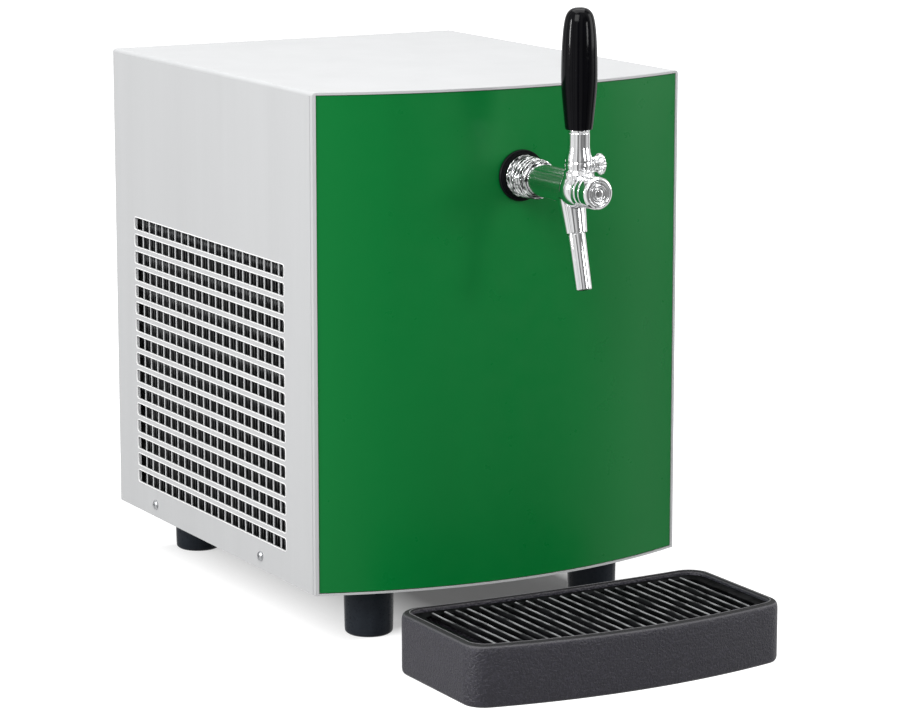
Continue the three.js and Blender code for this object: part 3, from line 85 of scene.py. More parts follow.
def place(x, y, z):
    return Matrix.Translation(at(x, y, z))


def cad_corners(node):
    """The lowest and the highest corner of a CAD node, in millimetres."""
    shift = Vector((0, SHIFT, 0))
    return [[round(v / MM, 3) for v in corner - shift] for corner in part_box(node)]


def cad_middle(node):
    return [(a + b) / 2 for a, b in zip(*cad_corners(node))]


def bow_radius(width, stand):
    return ((width / 2) ** 2 + stand ** 2) / (2 * stand)


BOW_RADIUS = bow_radius(2 * HALF_WIDTH, BOW_STAND)
FRONT_MIDDLE = -HALF_DEPTH - BOW_STAND
BOW_CENTRE = FRONT_MIDDLE + BOW_RADIUS

SHEET = 1.5
BEND = 3
SIDE_BORDER = 2.6
TOP_BORDER = 2
LOW_BORDER = 1.6

PANEL_INSET = 0.6
PANEL_GAP = 0.45
PANEL_THICKNESS = 3

SLOT_ROWS = 16
SLOT_LOW = 69
SLOT_PITCH = 14.85
SLOT_HEIGHT = 10.4
SLOT_FRONT = -139
SLOT_BACK = 151
SLOT_CORNER = 2.2

PANEL_FACE = FRONT_MIDDLE + PANEL_INSET
TAP_HEIGHT = 373
TAP_REACH = 88
PIVOT_RISE = 18
HEAD_END = TAP_REACH + 14
BARREL_RADIUS = 13
BALL_RADIUS = 15
BONNET_RADIUS = 10.5
CAP_RADIUS = 12.7
LEVER_BALL = 6
LEVER_SOCKET = 6.3

# Places of the tap: its flange on the panel, the middle of its head, and the lever's pivot
TAP = place(0, PANEL_FACE, TAP_HEIGHT)
HEAD = TAP @ Matrix.Translation((0, -TAP_REACH * MM, 0))
PIVOT = place(0, PANEL_FACE - TAP_REACH, TAP_HEIGHT + PIVOT_RISE)
FORWARDS = Matrix.Rotation(QUARTER, 4, "X")
BACKWARDS = Matrix.Rotation(-QUARTER, 4, "X")
RIGHTWARDS = Matrix.Rotation(QUARTER, 4, "Y")


# Materials


class NodeGraph:
    """The nodes of a material or of the world."""

    def __init__(self, owner):
        owner.use_nodes = True
        self.tree = owner.node_tree

    def add(self, kind, inputs=(), **settings):
        """A new node, with its settings and the values of its inputs."""
        node = self.tree.nodes.new(kind)
        for name, value in settings.items():
            setattr(node, name, value)
        for name, value in dict(inputs).items():
            node.inputs[name].default_value = value
        return node

    def link(self, source, target):
        self.tree.links.new(source, target)

    def axis(self, vector, letter):
        """One coordinate of a vector."""
        parts = self.add("ShaderNodeSeparateXYZ")
        self.link(vector, parts.inputs[0])
        return parts.outputs[letter]

    def sums(self, operation, first, second=0.0):
        """A sum on numbers or on outputs of nodes."""
        node = self.add("ShaderNodeMath", operation=operation)
        for socket, value in zip(node.inputs, (first, second)):
            if isinstance(value, (int, float)):
                socket.default_value = value
            else:
                self.link(value, socket)
        return node.outputs[0]

    def span(self, value, low, high, from_low=0.3, from_high=0.7, **settings):
        """A value's window, from_low to from_high, stretched to the span from low to high."""
        limits = {"From Min": from_low, "From Max": from_high, "To Min": low, "To Max": high}
        mapped = self.add("ShaderNodeMapRange", limits, **settings)
        self.link(value, mapped.inputs["Value"])
        return mapped.outputs["Result"]


class Shader(NodeGraph):
    """A principled material with its texture nodes."""

    def __init__(self, name, colour, roughness, **sockets):
        self.material = bpy.data.materials.new(name)
        super().__init__(self.material)
        self.bsdf = self.tree.nodes["Principled BSDF"]
        self.bsdf.inputs["Base Color"].default_value = (*colour, 1)
        self.bsdf.inputs["Roughness"].default_value = roughness
        for name, value in sockets.items():
            title = name.replace("_", " ").title().replace("Ior", "IOR")
            self.bsdf.inputs[title].default_value = value
        self.colour = colour
        self.place = self.add("ShaderNodeTexCoord").outputs["Object"]
        self.normal = None
        self.colour_out = None

    def stretched(self, scale):
        """The object's own coordinates, with one scale or one for each axis."""
        scales = scale if isinstance(scale, tuple) else (scale,) * 3
        mapping = self.add("ShaderNodeMapping", {"Scale": scales})
        self.link(self.place, mapping.inputs["Vector"])
        return mapping.outputs["Vector"]

    def grain(self, scale, detail=3, sharpness=0.5):
        settings = {"Scale": 1, "Detail": detail, "Roughness": sharpness}
        texture = self.add("ShaderNodeTexNoise", settings)
        self.link(self.stretched(scale), texture.inputs["Vector"])
        return texture.outputs["Fac"]

    def cells(self, scale):
        texture = self.add("ShaderNodeTexVoronoi", {"Scale": 1})
        self.link(self.stretched(scale), texture.inputs["Vector"])
        return texture.outputs["Distance"]

    def vary_colour(self, value, other, share=1.0, from_low=0.3, from_high=0.7):
        """Mixes in up to a share of another colour, or of the own colour times a number."""
        if not isinstance(other, tuple):
            other = tuple(min(1, c * other) for c in self.colour)
        mix = self.add("ShaderNodeMix", data_type="RGBA")
        self.link(self.span(value, 0, share, from_low, from_high), mix.inputs["Factor"])
        if self.colour_out is None:
            mix.inputs["A"].default_value = (*self.colour, 1)
        else:
            self.link(self.colour_out, mix.inputs["A"])
        mix.inputs["B"].default_value = (*other, 1)
        self.colour_out = mix.outputs["Result"]
        self.link(self.colour_out, self.bsdf.inputs["Base Color"])

    def vary_roughness(self, value, low, high):
        self.link(self.span(value, low, high), self.bsdf.inputs["Roughness"])

    def bump(self, value, depth, strength=1.0):
        """A relief, with its depth in millimetres."""
        bump = self.add("ShaderNodeBump", {"Distance": depth * MM, "Strength": strength})
        self.link(value, bump.inputs["Height"])
        if self.normal is not None:
            self.link(self.normal, bump.inputs["Normal"])
        self.normal = bump.outputs["Normal"]
        self.link(self.normal, self.bsdf.inputs["Normal"])


def sheet_steel():
    s = Shader("sheet_steel", (0.58, 0.586, 0.593), 0.5, metallic=0.15, specular_ior_level=0.3)
    upright = s.grain((1400, 1400, 9), 4, 0.6)
    s.vary_colour(s.grain((26, 26, 1.2), 2), 0.94, 0.8)
    s.vary_colour(upright, 1.08, 0.35)
    s.vary_roughness(upright, 0.45, 0.56)
    s.bump(upright, 0.015, 0.4)
    s.bump(s.grain((6, 6, 5), 2), 0.1, 0.4)
    return s.material


def slot_edge_highlight():
    """The slightly raised edge round a slot, its near-white colour a painted highlight."""
    s = Shader("slot_edge_highlight", (0.93, 0.93, 0.93), 0.5, specular_ior_level=0.4)
    s.vary_colour(s.grain(300), 0.93, 0.7)
    s.vary_roughness(s.grain(500), 0.42, 0.6)
    s.bump(s.grain(900), 0.02, 0.4)
    return s.material


def green_panel():
    s = Shader("green_panel", (0.0012, 0.187, 0.034), 0.3, specular_ior_level=0.23)
    s.vary_colour(s.grain((16, 16, 2.2), 2), 0.9, 0.8)
    s.vary_colour(s.grain(1500, 2), 1.1, 0.4)
    s.vary_roughness(s.grain(60, 4), 0.27, 0.34)
    s.bump(s.grain((9, 9, 7), 2), 0.06, 0.4)
    return s.material


CHROME_COLOUR = (0.87, 0.875, 0.885)


def chrome(name="chrome", roughness=0.06):
    s = Shader(name, CHROME_COLOUR, roughness, metallic=1)
    s.vary_roughness(s.grain(240, 4), roughness * 0.6, roughness * 1.5)
    s.vary_colour(s.grain(90), 0.92, 0.5)
    s.bump(s.grain(110, 2), 0.02, 0.3)
    return s


def turned_chrome():
    """Chrome with fine lines along its axis, which draw its lights out round it."""
    s = Shader("turned_chrome", CHROME_COLOUR, 0.13, metallic=1, anisotropic=0.9,
               anisotropic_rotation=0.25)
    lines = s.grain((320, 7, 320))
    s.vary_colour(lines, 0.7, 0.9)
    s.vary_roughness(lines, 0.03, 0.24)
    tangent = s.add("ShaderNodeTangent", direction_type="RADIAL", axis="Y")
    s.link(tangent.outputs[0], s.bsdf.inputs["Tangent"])
    return s.material


def knurled_chrome():
    """Chrome with dark patches painted in bands round its axis, a painted shade on its rings."""
    s = chrome("knurled_chrome", 0.1)
    # Painted shade: dark patches in bands along the collar's rings
    s.vary_colour(s.grain((130, 820, 130), 4, 0.7), (0.05, 0.055, 0.055), 0.95, 0.45, 0.54)
    s.bump(s.grain((330, 700, 330)), 0.25, 0.6)
    return s.material


def plated(name, colour, roughness):
    s = Shader(name, colour, roughness, metallic=1)
    s.vary_roughness(s.grain(500, 4), roughness * 0.75, roughness * 1.25)
    s.vary_colour(s.grain(160), 0.85, 0.7)
    s.bump(s.grain(900), 0.02, 0.5)
    return s.material


def rubber(name, colour, roughness):
    s = Shader(name, colour, roughness, specular_ior_level=0.12)
    s.vary_colour(s.grain(420, 4), 1.5, 0.5)
    s.vary_roughness(s.grain(300), roughness - 0.08, roughness + 0.1)
    s.bump(s.grain(1300), 0.05, 0.5)
    return s.material


def foot_plastic():
    s = Shader("foot_plastic", (0.022, 0.0262, 0.033), 0.4, specular_ior_level=0.06)
    s.vary_colour(s.grain(120), 1.5, 0.5)
    s.vary_roughness(s.grain(500), 0.24, 0.38)
    s.bump(s.grain(900), 0.03, 0.3)
    return s.material


def gloss_black():
    s = Shader("gloss_black", (0.0012, 0.0012, 0.002), 0.1, specular_ior_level=0.12)
    s.vary_roughness(s.grain(300, 4), 0.07, 0.15)
    s.vary_colour(s.grain(90), 2.2, 0.5)
    s.bump(s.grain(120, 2), 0.02, 0.25)
    return s.material


def moulded_black():
    s = Shader("fitting_black", (0.012, 0.012, 0.0135), 0.42, specular_ior_level=0.5)
    s.vary_colour(s.grain(700), 1.7, 0.5)
    s.vary_roughness(s.grain(400), 0.35, 0.49)
    s.bump(s.cells(1500), 0.03, 0.4)
    return s.material


def tray_plastic():
    """Grained plastic, with a painted highlight on the rim's outer edge and on its inner bead, and painted
    shade on the rim's top.
    """
    s = Shader("tray_plastic", (0.0225, 0.021, 0.0305), 0.36, specular_ior_level=0.5)
    level = s.axis(s.place, "Z")
    coarse = s.grain(480, 5, 0.62)
    s.vary_colour(s.grain(70), 0.8, 0.6)
    s.vary_colour(coarse, 2.2, 0.6, 0.5, 0.68)
    # Painted highlight on the rim's outer rounding
    s.vary_colour(level, (0.08, 0.077, 0.085), 0.8, 46.1 * MM, 46.9 * MM)
    # Painted shade: the rim's top turns near-black
    s.vary_colour(level, (0.004, 0.004, 0.005), 1, 47.4 * MM, 48 * MM)
    # Painted highlight on the crest of the inner bead
    s.vary_colour(level, (0.16, 0.155, 0.165), 0.8, 48.6 * MM, 48.85 * MM)
    # The rim is dull, so that it doesn't mirror the panel
    rim = s.span(level, 0, 0.85, 46.6 * MM, 47.8 * MM)
    s.link(s.sums("MAXIMUM", s.span(coarse, 0.3, 0.46), rim), s.bsdf.inputs["Roughness"])
    s.bump(s.cells(560), 0.45, 0.8)
    s.bump(coarse, 1)
    return s.material


def grate_plastic():
    """Dull black plastic, with a painted highlight in places on top of the ribs."""
    s = Shader("grate_plastic", (0.002, 0.002, 0.0023), 0.5, specular_ior_level=0.02)
    # Painted highlight: the ribs' crests, above 45.3 mm, turn light grey
    s.vary_colour(s.axis(s.place, "Z"), (0.3, 0.3, 0.31), 1, 45.3 * MM, 45.95 * MM)
    # Noise patches that break up the painted highlight and lift the black a little
    s.vary_colour(s.grain((150, 45, 150), 4), (0.008, 0.008, 0.009), 0.9, 0.42, 0.62)
    s.vary_roughness(s.grain(240, 4), 0.42, 0.6)
    s.bump(s.grain((300, 120, 300), 4), 0.3, 0.5)
    return s.material


def bay_plastic():
    s = Shader("bay_plastic", (0.76, 0.775, 0.76), 0.42, specular_ior_level=0.5)
    s.vary_colour(s.grain(30), 0.93, 0.7)
    s.vary_roughness(s.grain(300), 0.36, 0.5)
    s.bump(s.cells(900), 0.03, 0.4)
    return s.material


def rolled_aluminium(name, colour, along):
    s = Shader(name, colour, 0.36, metallic=1)
    rolled = s.grain(along, 4, 0.6)
    s.vary_roughness(rolled, 0.28, 0.46)
    s.vary_colour(rolled, 0.86, 0.7)
    s.bump(rolled, 0.03, 0.5)
    return s.material


def dark_paint():
    s = Shader("dark_paint", (0.018, 0.019, 0.021), 0.4, specular_ior_level=0.5)
    s.vary_colour(s.grain(90, 4), 1.8, 0.6)
    s.vary_roughness(s.grain(300), 0.32, 0.5)
    s.bump(s.grain(800), 0.05, 0.5)
    return s.material


def hose():
    s = Shader("beer_hose", (0.74, 0.765, 0.735), 0.28, specular_ior_level=0.5,
               transmission_weight=0.35, ior=1.46)
    s.vary_colour(s.grain((60, 200, 60)), 0.88, 0.7)
    s.vary_roughness(s.grain(300), 0.2, 0.38)
    s.bump(s.grain(500, 2), 0.02, 0.4)
    return s.material


def copper():
    s = Shader("copper", (0.62, 0.29, 0.16), 0.3, metallic=1)
    s.vary_colour(s.grain(110, 4), (0.33, 0.13, 0.07), 0.6)
    s.vary_roughness(s.grain(300), 0.22, 0.42)
    s.bump(s.grain(700), 0.02, 0.4)
    return s.material


FINISH = {
    "cabinet_steel": sheet_steel(),
    "panel_green": green_panel(),
    "tap_chrome": chrome().material,
    "seal_rubber": rubber("seal_rubber", (0.0035, 0.004, 0.005), 0.5),
    "foot_plastic": foot_plastic(),
    "handle_black": gloss_black(),
    "fitting_black": moulded_black(),
    "tray_plastic": tray_plastic(),
    "grate_plastic": grate_plastic(),
    "bay_plastic": bay_plastic(),
    "evaporator_aluminium": rolled_aluminium("rolled_aluminium", (0.66, 0.67, 0.685), (60, 12, 1500)),
    "dark_metal": dark_paint(),
    "copper_pipe": copper(),
    "beer_hose": hose(),
    "zinc": plated("zinc_plate", (0.55, 0.56, 0.575), 0.32),
}
FIN = rolled_aluminium("fin_aluminium", (0.22, 0.225, 0.23), (300, 300, 30))
# The near-white slot edges are a painted highlight
EDGE_HIGHLIGHT = slot_edge_highlight()
TURNED = turned_chrome()
KNURLED = knurled_chrome()

SLOT_OF = {part["node"]: part["material_slot"] for part in frame["record"]["subparts"]}

for name, node in nodes.items():
    for holder in node.material_slots:
        holder.material = FINISH[SLOT_OF[name]]


# Mesh helpers


def add_object(name, data):
    made = bpy.data.objects.new(name, data)
    bpy.context.scene.collection.objects.link(made)
    return made


def shade(mesh, angle):
    """Shades a mesh smooth, apart from edges that turn by more than an angle."""
    mesh.shade_smooth()
    mesh.set_sharp_from_angle(angle=math.radians(angle))


def mesh_object(name, bm, angle=35):
    mesh = bpy.data.meshes.new(name)
    bm.to_mesh(mesh)
    bm.free()
    shade(mesh, angle)
    return add_object(name, mesh)


def from_bmesh(name, bm, angle=35):
    bmesh.ops.recalc_face_normals(bm, faces=bm.faces)
    return mesh_object(name, bm, angle)


def baked_mesh(obj):
    bpy.context.view_layer.update()
    evaluated = obj.evaluated_get(bpy.context.evaluated_depsgraph_get())
    mesh = bpy.data.meshes.new_from_object(evaluated)
    obj.modifiers.clear()
    obj.data = mesh
    return mesh


def apply_modifiers(obj, angle=35):
    shade(baked_mesh(obj), angle)


def bevel(obj, width, segments=2, angle=40, smooth=35):
    """Rounds the edges that turn by more than an angle, over a width in millimetres."""
    modifier = obj.modifiers.new("bevel", "BEVEL")
    modifier.width = width * MM
    modifier.segments = segments
    modifier.limit_method = "ANGLE"
    modifier.angle_limit = math.radians(angle)
    modifier.miter_outer = "MITER_ARC"
    apply_modifiers(obj, smooth)


def bevel_sheet(obj, width, segments=2, angle=50):
    """Rounds the edges, and leaves the rounding of the shading to them, so that faces stay flat."""
    bevel(obj, width, segments, angle, 50)
    weighted = obj.modifiers.new("flat_faces", "WEIGHTED_NORMAL")
    weighted.keep_sharp = True
    weighted.weight = 100
    baked_mesh(obj)


def sheet(name, bm, outwards, thickness):
    """A sheet whose outer face is given, and whose thickness lies behind it."""
    outwards = Vector(outwards)
    bmesh.ops.recalc_face_normals(bm, faces=bm.faces)
    outermost = max(bm.faces, key=lambda face: face.calc_center_median().dot(outwards))
    if outermost.normal.dot(outwards) < 0:
        bmesh.ops.reverse_faces(bm, faces=bm.faces)
    made = mesh_object(name, bm)
    solid = made.modifiers.new("sheet", "SOLIDIFY")
    solid.thickness = thickness * MM
    solid.offset = -1
    solid.use_even_offset = True
    return made


def boolean(obj, others, operation):
    for other in others:
        modifier = obj.modifiers.new(operation, "BOOLEAN")
        modifier.operation = operation
        modifier.solver = "EXACT"
        modifier.object = other
        apply_modifiers(obj)
        bpy.data.objects.remove(other)


def cut(obj, *others):
    boolean(obj, others, "DIFFERENCE")


def fuse(obj, *others):
    boolean(obj, others, "UNION")


def dress(obj, body, *replaced, finish=None):
    """Puts a finished piece on its body, in place of its CAD nodes."""
    slot = SLOT_OF[replaced[0]]
    obj.data.materials.clear()
    obj.data.materials.append(finish or FINISH[slot])
    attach(obj, body)
    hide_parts(*replaced)


def arc(x, y, radius, start, end, steps):
    """Points on an arc about (x, y), from one angle to another."""
    turns = [start + (end - start) * k / steps for k in range(steps + 1)]
    return [(x + radius * math.cos(turn), y + radius * math.sin(turn)) for turn in turns]


def sharp_arc(height, radius, start, end, steps):
    """An arc about a point on the axis, for a profile whose other corners get rounded."""
    return [(*point, 0) for point in arc(0, height, radius, start, end, steps)]


def rounded(profile, radius=0.4, steps=3):
    """A [radius, height] profile in millimetres with its corners rounded.

    A point's third value is its own corner radius.
    """
    straight = math.radians(12)
    longest_share = 0.45
    points = [Vector(p[:2]) for p in profile]
    limits = [p[2] if len(p) > 2 else radius for p in profile]
    result = [points[0]]
    for i in range(1, len(points) - 1):
        before, here, after = points[i - 1:i + 2]
        back = before - here
        ahead = after - here
        turn = math.pi - back.angle(ahead, math.pi)
        if turn < straight or limits[i] <= 0:
            result.append(here)
            continue
        shorter = min(back.length, ahead.length)
        reach = min(limits[i] * math.tan(turn / 2), longest_share * shorter)
        start = here + back.normalized() * reach
        end = here + ahead.normalized() * reach
        for k in range(steps + 1):
            t = k / steps
            result.append((1 - t) ** 2 * start + 2 * t * (1 - t) * here + t ** 2 * end)
    result.append(points[-1])
    return [(p.x, p.y) for p in result]


def skin(bm, rings, closed=True):
    """Faces from each row of vertices to the next. A row may be a single point."""
    for low, high in zip(rings, rings[1:]):
        count = max(len(low), len(high))
        for i in range(count if closed else count - 1):
            j = (i + 1) % count
            corners = [low[i % len(low)], low[j % len(low)], high[j % len(high)], high[i % len(high)]]
            corners = list(dict.fromkeys(corners))
            if len(corners) > 2:
                bm.faces.new(corners)


def circle(radius, height, segments):
    """Points in metres on a circle about Z."""
    turns = [2 * math.pi * i / segments for i in range(segments)]
    return [(radius * MM * math.cos(turn), radius * MM * math.sin(turn), height * MM) for turn in turns]


def lathe(name, profile, matrix, segments=72):
    """A solid turned about Z from a [radius, height] profile in millimetres, then placed."""
    bm = bmesh.new()
    rings = []
    for radius, height in profile:
        points = circle(radius, height, segments if radius > 1e-4 else 1)
        rings.append([bm.verts.new(point) for point in points])
    skin(bm, rings)
    if len(rings[0]) > 1 and profile[0] == profile[-1]:
        bmesh.ops.remove_doubles(bm, verts=bm.verts, dist=1e-7)
    bmesh.ops.transform(bm, matrix=matrix, verts=bm.verts)
    return from_bmesh(name, bm)


def rod(name, radius, low, high, matrix, segments=48):
    return lathe(name, [(0, low), (radius, low), (radius, high), (0, high)], matrix, segments)


def add_box(bm, low, high):
    """A box between two corners in millimetres, from the middle of the cabinet."""
    size = [(b - a) * MM for a, b in zip(low, high)]
    middle = [(a + b) / 2 * MM for a, b in zip(low, high)]
    for vert in bmesh.ops.create_cube(bm, size=1)["verts"]:
        corner = Vector([m + share * s for m, share, s in zip(middle, vert.co, size)])
        vert.co = corner + Vector((0, SHIFT, 0))


def loft(name, loops, angle=35):
    """Skins closed loops of the same number of points, in metres, and closes both ends."""
    bm = bmesh.new()
    rows = [[bm.verts.new(point) for point in loop] for loop in loops]
    skin(bm, rows)
    bm.faces.new(rows[0])
    bm.faces.new(rows[-1])
    return from_bmesh(name, bm, angle)


def soften(node, width=0.5, perforated=False):
    """A copy of a CAD node with rounded edges, in its place. A perforated one keeps its triangles."""
    source = nodes[node]
    bm = bmesh.new()
    bm.from_mesh(source.data)
    bmesh.ops.remove_doubles(bm, verts=bm.verts, dist=2e-6)
    if not perforated:
        flat = math.radians(0.6)
        bmesh.ops.dissolve_limit(bm, angle_limit=flat, verts=bm.verts, edges=bm.edges)
    made = from_bmesh("soft_" + node, bm)
    bevel_sheet(made, width, angle=38)
    dress(made, source["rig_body"], node)


# Cabinet

COLUMNS = 96


def bow(x, inset=0):
    """Y of the bowed front, or of a face a little behind it."""
    return BOW_CENTRE - math.sqrt((BOW_RADIUS - inset) ** 2 - x ** 2)


def slot_loop(front, bottom, back, top, radius, steps=6):
    """A rounded rectangle in Y and Z."""
    corners = [
        (back - radius, top - radius),
        (front + radius, top - radius),
        (front + radius, bottom + radius),
        (back - radius, bottom + radius),
    ]
    loop = []
    for i, (y, z) in enumerate(corners):
        loop += arc(y, z, radius, QUARTER * i, QUARTER * (i + 1), steps)
    return loop


def side_slot(row, out=0):
    """The outline of a slot in the left side, or one that lies a little outside it."""
    low = SLOT_LOW + SLOT_PITCH * row
    high = low + SLOT_HEIGHT
    return slot_loop(SLOT_FRONT - out, low - out, SLOT_BACK + out, high + out, SLOT_CORNER + out)


def fill_flat(bm, x, outline, holes):
    """Fills a flat outline of vertices at one X, apart from holes given in Y and Z."""
    rings = [outline]
    for hole in holes:
        rings.append([bm.verts.new(at(x, y, z)) for y, z in hole])
    edges = []
    for ring in rings:
        for pair in zip(ring, ring[1:] + ring[:1]):
            edges.append(bm.edges.get(pair) or bm.edges.new(pair))
    bmesh.ops.triangle_fill(bm, use_beauty=True, use_dissolve=False, edges=edges)


def roof_line():
    """X and Z across the folded top, from the left side's upper edge to the right side's."""
    edge = HALF_WIDTH - BEND
    bend = arc(-edge, ROOF - BEND, BEND, math.pi, QUARTER, 10)[:-1]
    flat = [(-edge + 2 * edge * i / COLUMNS, ROOF) for i in range(COLUMNS + 1)]
    return bend + flat + [(-x, z) for x, z in reversed(bend)]


def wrap_side(bm, side, top_front, top_back):
    """One side of the wrap, with the fine groove behind its front edge."""
    x = side * HALF_WIDTH
    front_y = bow(HALF_WIDTH)
    groove = [(3.6, 0), (3.9, 0.9), (4.6, 0.9), (4.9, 0)]
    front = [bm.verts.new(at(x, front_y, UNDERSIDE)), top_front]
    for behind, deep in groove:
        line = [bm.verts.new(at(x - side * deep, front_y + behind, z)) for z in (UNDERSIDE, ROOF - BEND)]
        bm.faces.new((*front, line[1], line[0]))
        front = line
    outline = [*front, top_back, bm.verts.new(at(x, HALF_DEPTH, UNDERSIDE))]
    if side < 0:
        fill_flat(bm, x, outline, [side_slot(row) for row in range(SLOT_ROWS)])
    else:
        bm.faces.new(outline)


def wrap_border(bm, line, front_edge):
    """The border round the panel."""
    half = HALF_WIDTH - SIDE_BORDER
    narrowing = half / (HALF_WIDTH - BEND)
    outer = list(front_edge)
    inner = [(max(-half, min(half, x * narrowing)), ROOF - TOP_BORDER) for x, z in line]
    for i in range(COLUMNS + 1):
        x = HALF_WIDTH - 2 * HALF_WIDTH * i / COLUMNS
        outer.append(bm.verts.new(at(x, bow(x), UNDERSIDE)))
        inner.append((x * half / HALF_WIDTH, UNDERSIDE + LOW_BORDER))
    window = [bm.verts.new(at(x, bow(x), z)) for x, z in inner]
    skin(bm, [outer, window])


def make_wrap():
    """The folded sheet: both sides, the top and the border round the panel."""
    bm = bmesh.new()
    line = roof_line()
    front_edge = [bm.verts.new(at(x, bow(x), z)) for x, z in line]
    back_edge = [bm.verts.new(at(x, HALF_DEPTH, z)) for x, z in line]
    skin(bm, [front_edge, back_edge], closed=False)
    wrap_side(bm, -1, front_edge[0], back_edge[0])
    wrap_side(bm, 1, front_edge[-1], back_edge[-1])
    wrap_border(bm, line, front_edge)
    bmesh.ops.remove_doubles(bm, verts=bm.verts, dist=1e-6)
    bmesh.ops.dissolve_degenerate(bm, edges=bm.edges, dist=1e-7)
    shell = sheet("wrap_shell", bm, (0, 0, 1), SHEET)
    bevel_sheet(shell, 0.5, 3)
    dress(shell, "cabinet", "cabinet_wrap")


def make_slot_rims():
    """The edge round each slot, painted bright as a highlight, as how far out and how deep its section
    goes.
    """
    section = [(0.75, 0.1), (0.65, -0.22), (0.3, -0.34), (0, -0.3),
               (-0.1, -0.1), (-0.1, 0.7), (0.1, 0.7), (0.2, 0.1)]
    bm = bmesh.new()
    for row in range(SLOT_ROWS):
        rings = []
        for out, deep in section:
            loop = side_slot(row, out)
            rings.append([bm.verts.new(at(deep - HALF_WIDTH, y, z)) for y, z in loop])
        skin(bm, rings + rings[:1])
    # The rims wear the painted highlight material
    dress(from_bmesh("slot_rims", bm, 60), "cabinet", "cabinet_wrap", finish=EDGE_HIGHLIGHT)


def make_panel():
    """The bowed panel, with the hole for the tap's shank."""
    half = HALF_WIDTH - SIDE_BORDER - PANEL_GAP
    low = UNDERSIDE + LOW_BORDER + PANEL_GAP
    high = ROOF - TOP_BORDER - PANEL_GAP
    rows = 8
    across = [-half + 2 * half * i / COLUMNS for i in range(COLUMNS + 1)]
    bm = bmesh.new()
    grid = []
    for k in range(rows + 1):
        z = low + (high - low) * k / rows
        grid.append([bm.verts.new(at(x, bow(x, PANEL_INSET), z)) for x in across])
    skin(bm, grid, closed=False)
    panel = sheet("panel_skin", bm, (0, -1, 0), PANEL_THICKNESS)
    cut(panel, rod("hole", SHANK_HOLE, -6, 4, TAP @ FORWARDS))
    bevel_sheet(panel, 0.5, 3)
    dress(panel, "cabinet", "front_panel")


def make_guard():
    """The punched sheet behind the slots."""
    (x, front, low), (_, back, high) = cad_corners("grille_guard")
    thickness = 0.7
    bars = 22
    bar = 1.7
    corner = 1.2
    margin = 4.5
    pitch = (SLOT_BACK - SLOT_FRONT) / bars
    bm = bmesh.new()
    corners = [(front, low), (back, low), (back, high), (front, high)]
    outline = [bm.verts.new(at(x, y, z)) for y, z in corners]
    holes = []
    for i in range(bars):
        start = SLOT_FRONT + i * pitch + bar / 2
        end = start + pitch - bar
        holes.append(slot_loop(start, low + margin, end, high - margin, corner, 3))
    fill_flat(bm, x, outline, holes)
    guard = sheet("guard_sheet", bm, (-1, 0, 0), thickness)
    bevel_sheet(guard, 0.15)
    dress(guard, "cabinet", "grille_guard")


def make_condenser():
    """Thin fins on tube rows, in a folded case."""
    (left, front, bottom), (right, back, top) = cad_corners("condenser")
    case = 1.5
    fold = 2.2
    upper_fold = 2.15
    fins = 70
    fin = 0.8
    fin_inset = 0.5
    tube_rows = 9
    tube_radius = 4 * MM
    tube_columns = left + 5, right - 6
    start = front + case
    end = back - case
    low = bottom + fold
    high = top - upper_fold
    bm = bmesh.new()
    add_box(bm, (left, front, bottom), (right, start, top))
    add_box(bm, (left, end, bottom), (right, back, top))
    add_box(bm, (left, start, bottom), (right, end, low))
    add_box(bm, (left, start, high), (right, end, top))
    for i in range(fins):
        y = start + (end - start) * (i + 0.5) / fins
        add_box(bm, (left + fin_inset, y - fin / 2, low), (right - fin_inset, y + fin / 2, high))
    for row in range(tube_rows):
        z = low + (high - low) * (row + 0.5) / tube_rows
        for x in tube_columns:
            matrix = place(x, (start + end) / 2, z) @ BACKWARDS
            bmesh.ops.create_cone(bm, cap_ends=True, segments=16, radius1=tube_radius,
                                  radius2=tube_radius, depth=(end - start) * MM, matrix=matrix)
    dress(from_bmesh("condenser_fins", bm), "cabinet", "condenser", finish=FIN)


def make_feet():
    bore = 6.5
    bore_top = 26
    top = 43.7
    profile = rounded([
        (0, bore_top), (bore, bore_top), (bore, 0, 0.8), (17.2, 0, 1.2), (19.4, 1.6, 2.4),
        (19.7, 5, 3), (20.5, 42.4, 0.6), (20.2, top, 0.5), (0, top),
    ], 1, 4)
    for end in ("front", "rear"):
        for side in ("left", "right"):
            x, y, _ = cad_middle(f"foot_{end}_{side}")
            foot = lathe(f"foot_body_{end}_{side}", profile, place(x, y, 0), 64)
            dress(foot, "cabinet", f"foot_{end}_{side}")
            soften(f"foot_screw_{end}_{side}", 0.3)


def make_side_screws():
    profile = rounded([
        (0, -5), (2, -5), (2, 0.3, 0), (4.2, 0.3, 0.1), (4.15, 0.8, 0.6), (3.4, 2, 1.2), (0, 2.5),
    ], 0.5, 4)
    for side, x, turn in (("left", -HALF_WIDTH, math.pi), ("right", HALF_WIDTH, 0)):
        for end in ("front", "rear"):
            _, y, z = cad_middle(f"side_screw_{side}_{end}")
            matrix = place(x, y, z) @ Matrix.Rotation(turn, 4, "Z") @ RIGHTWARDS
            screw = lathe(f"screw_head_{side}_{end}", profile, matrix, 32)
            cut(screw, rod("socket", 1.3, 1.2, 4, matrix, 6))
            bevel(screw, 0.12)
            dress(screw, "cabinet", f"side_screw_{side}_{end}")


# Tap, with heights in profiles from the panel's face, from the head's middle or from the pivot

SHANK_HOLE = 9.8
SPLIT = TAP_REACH - 7.8


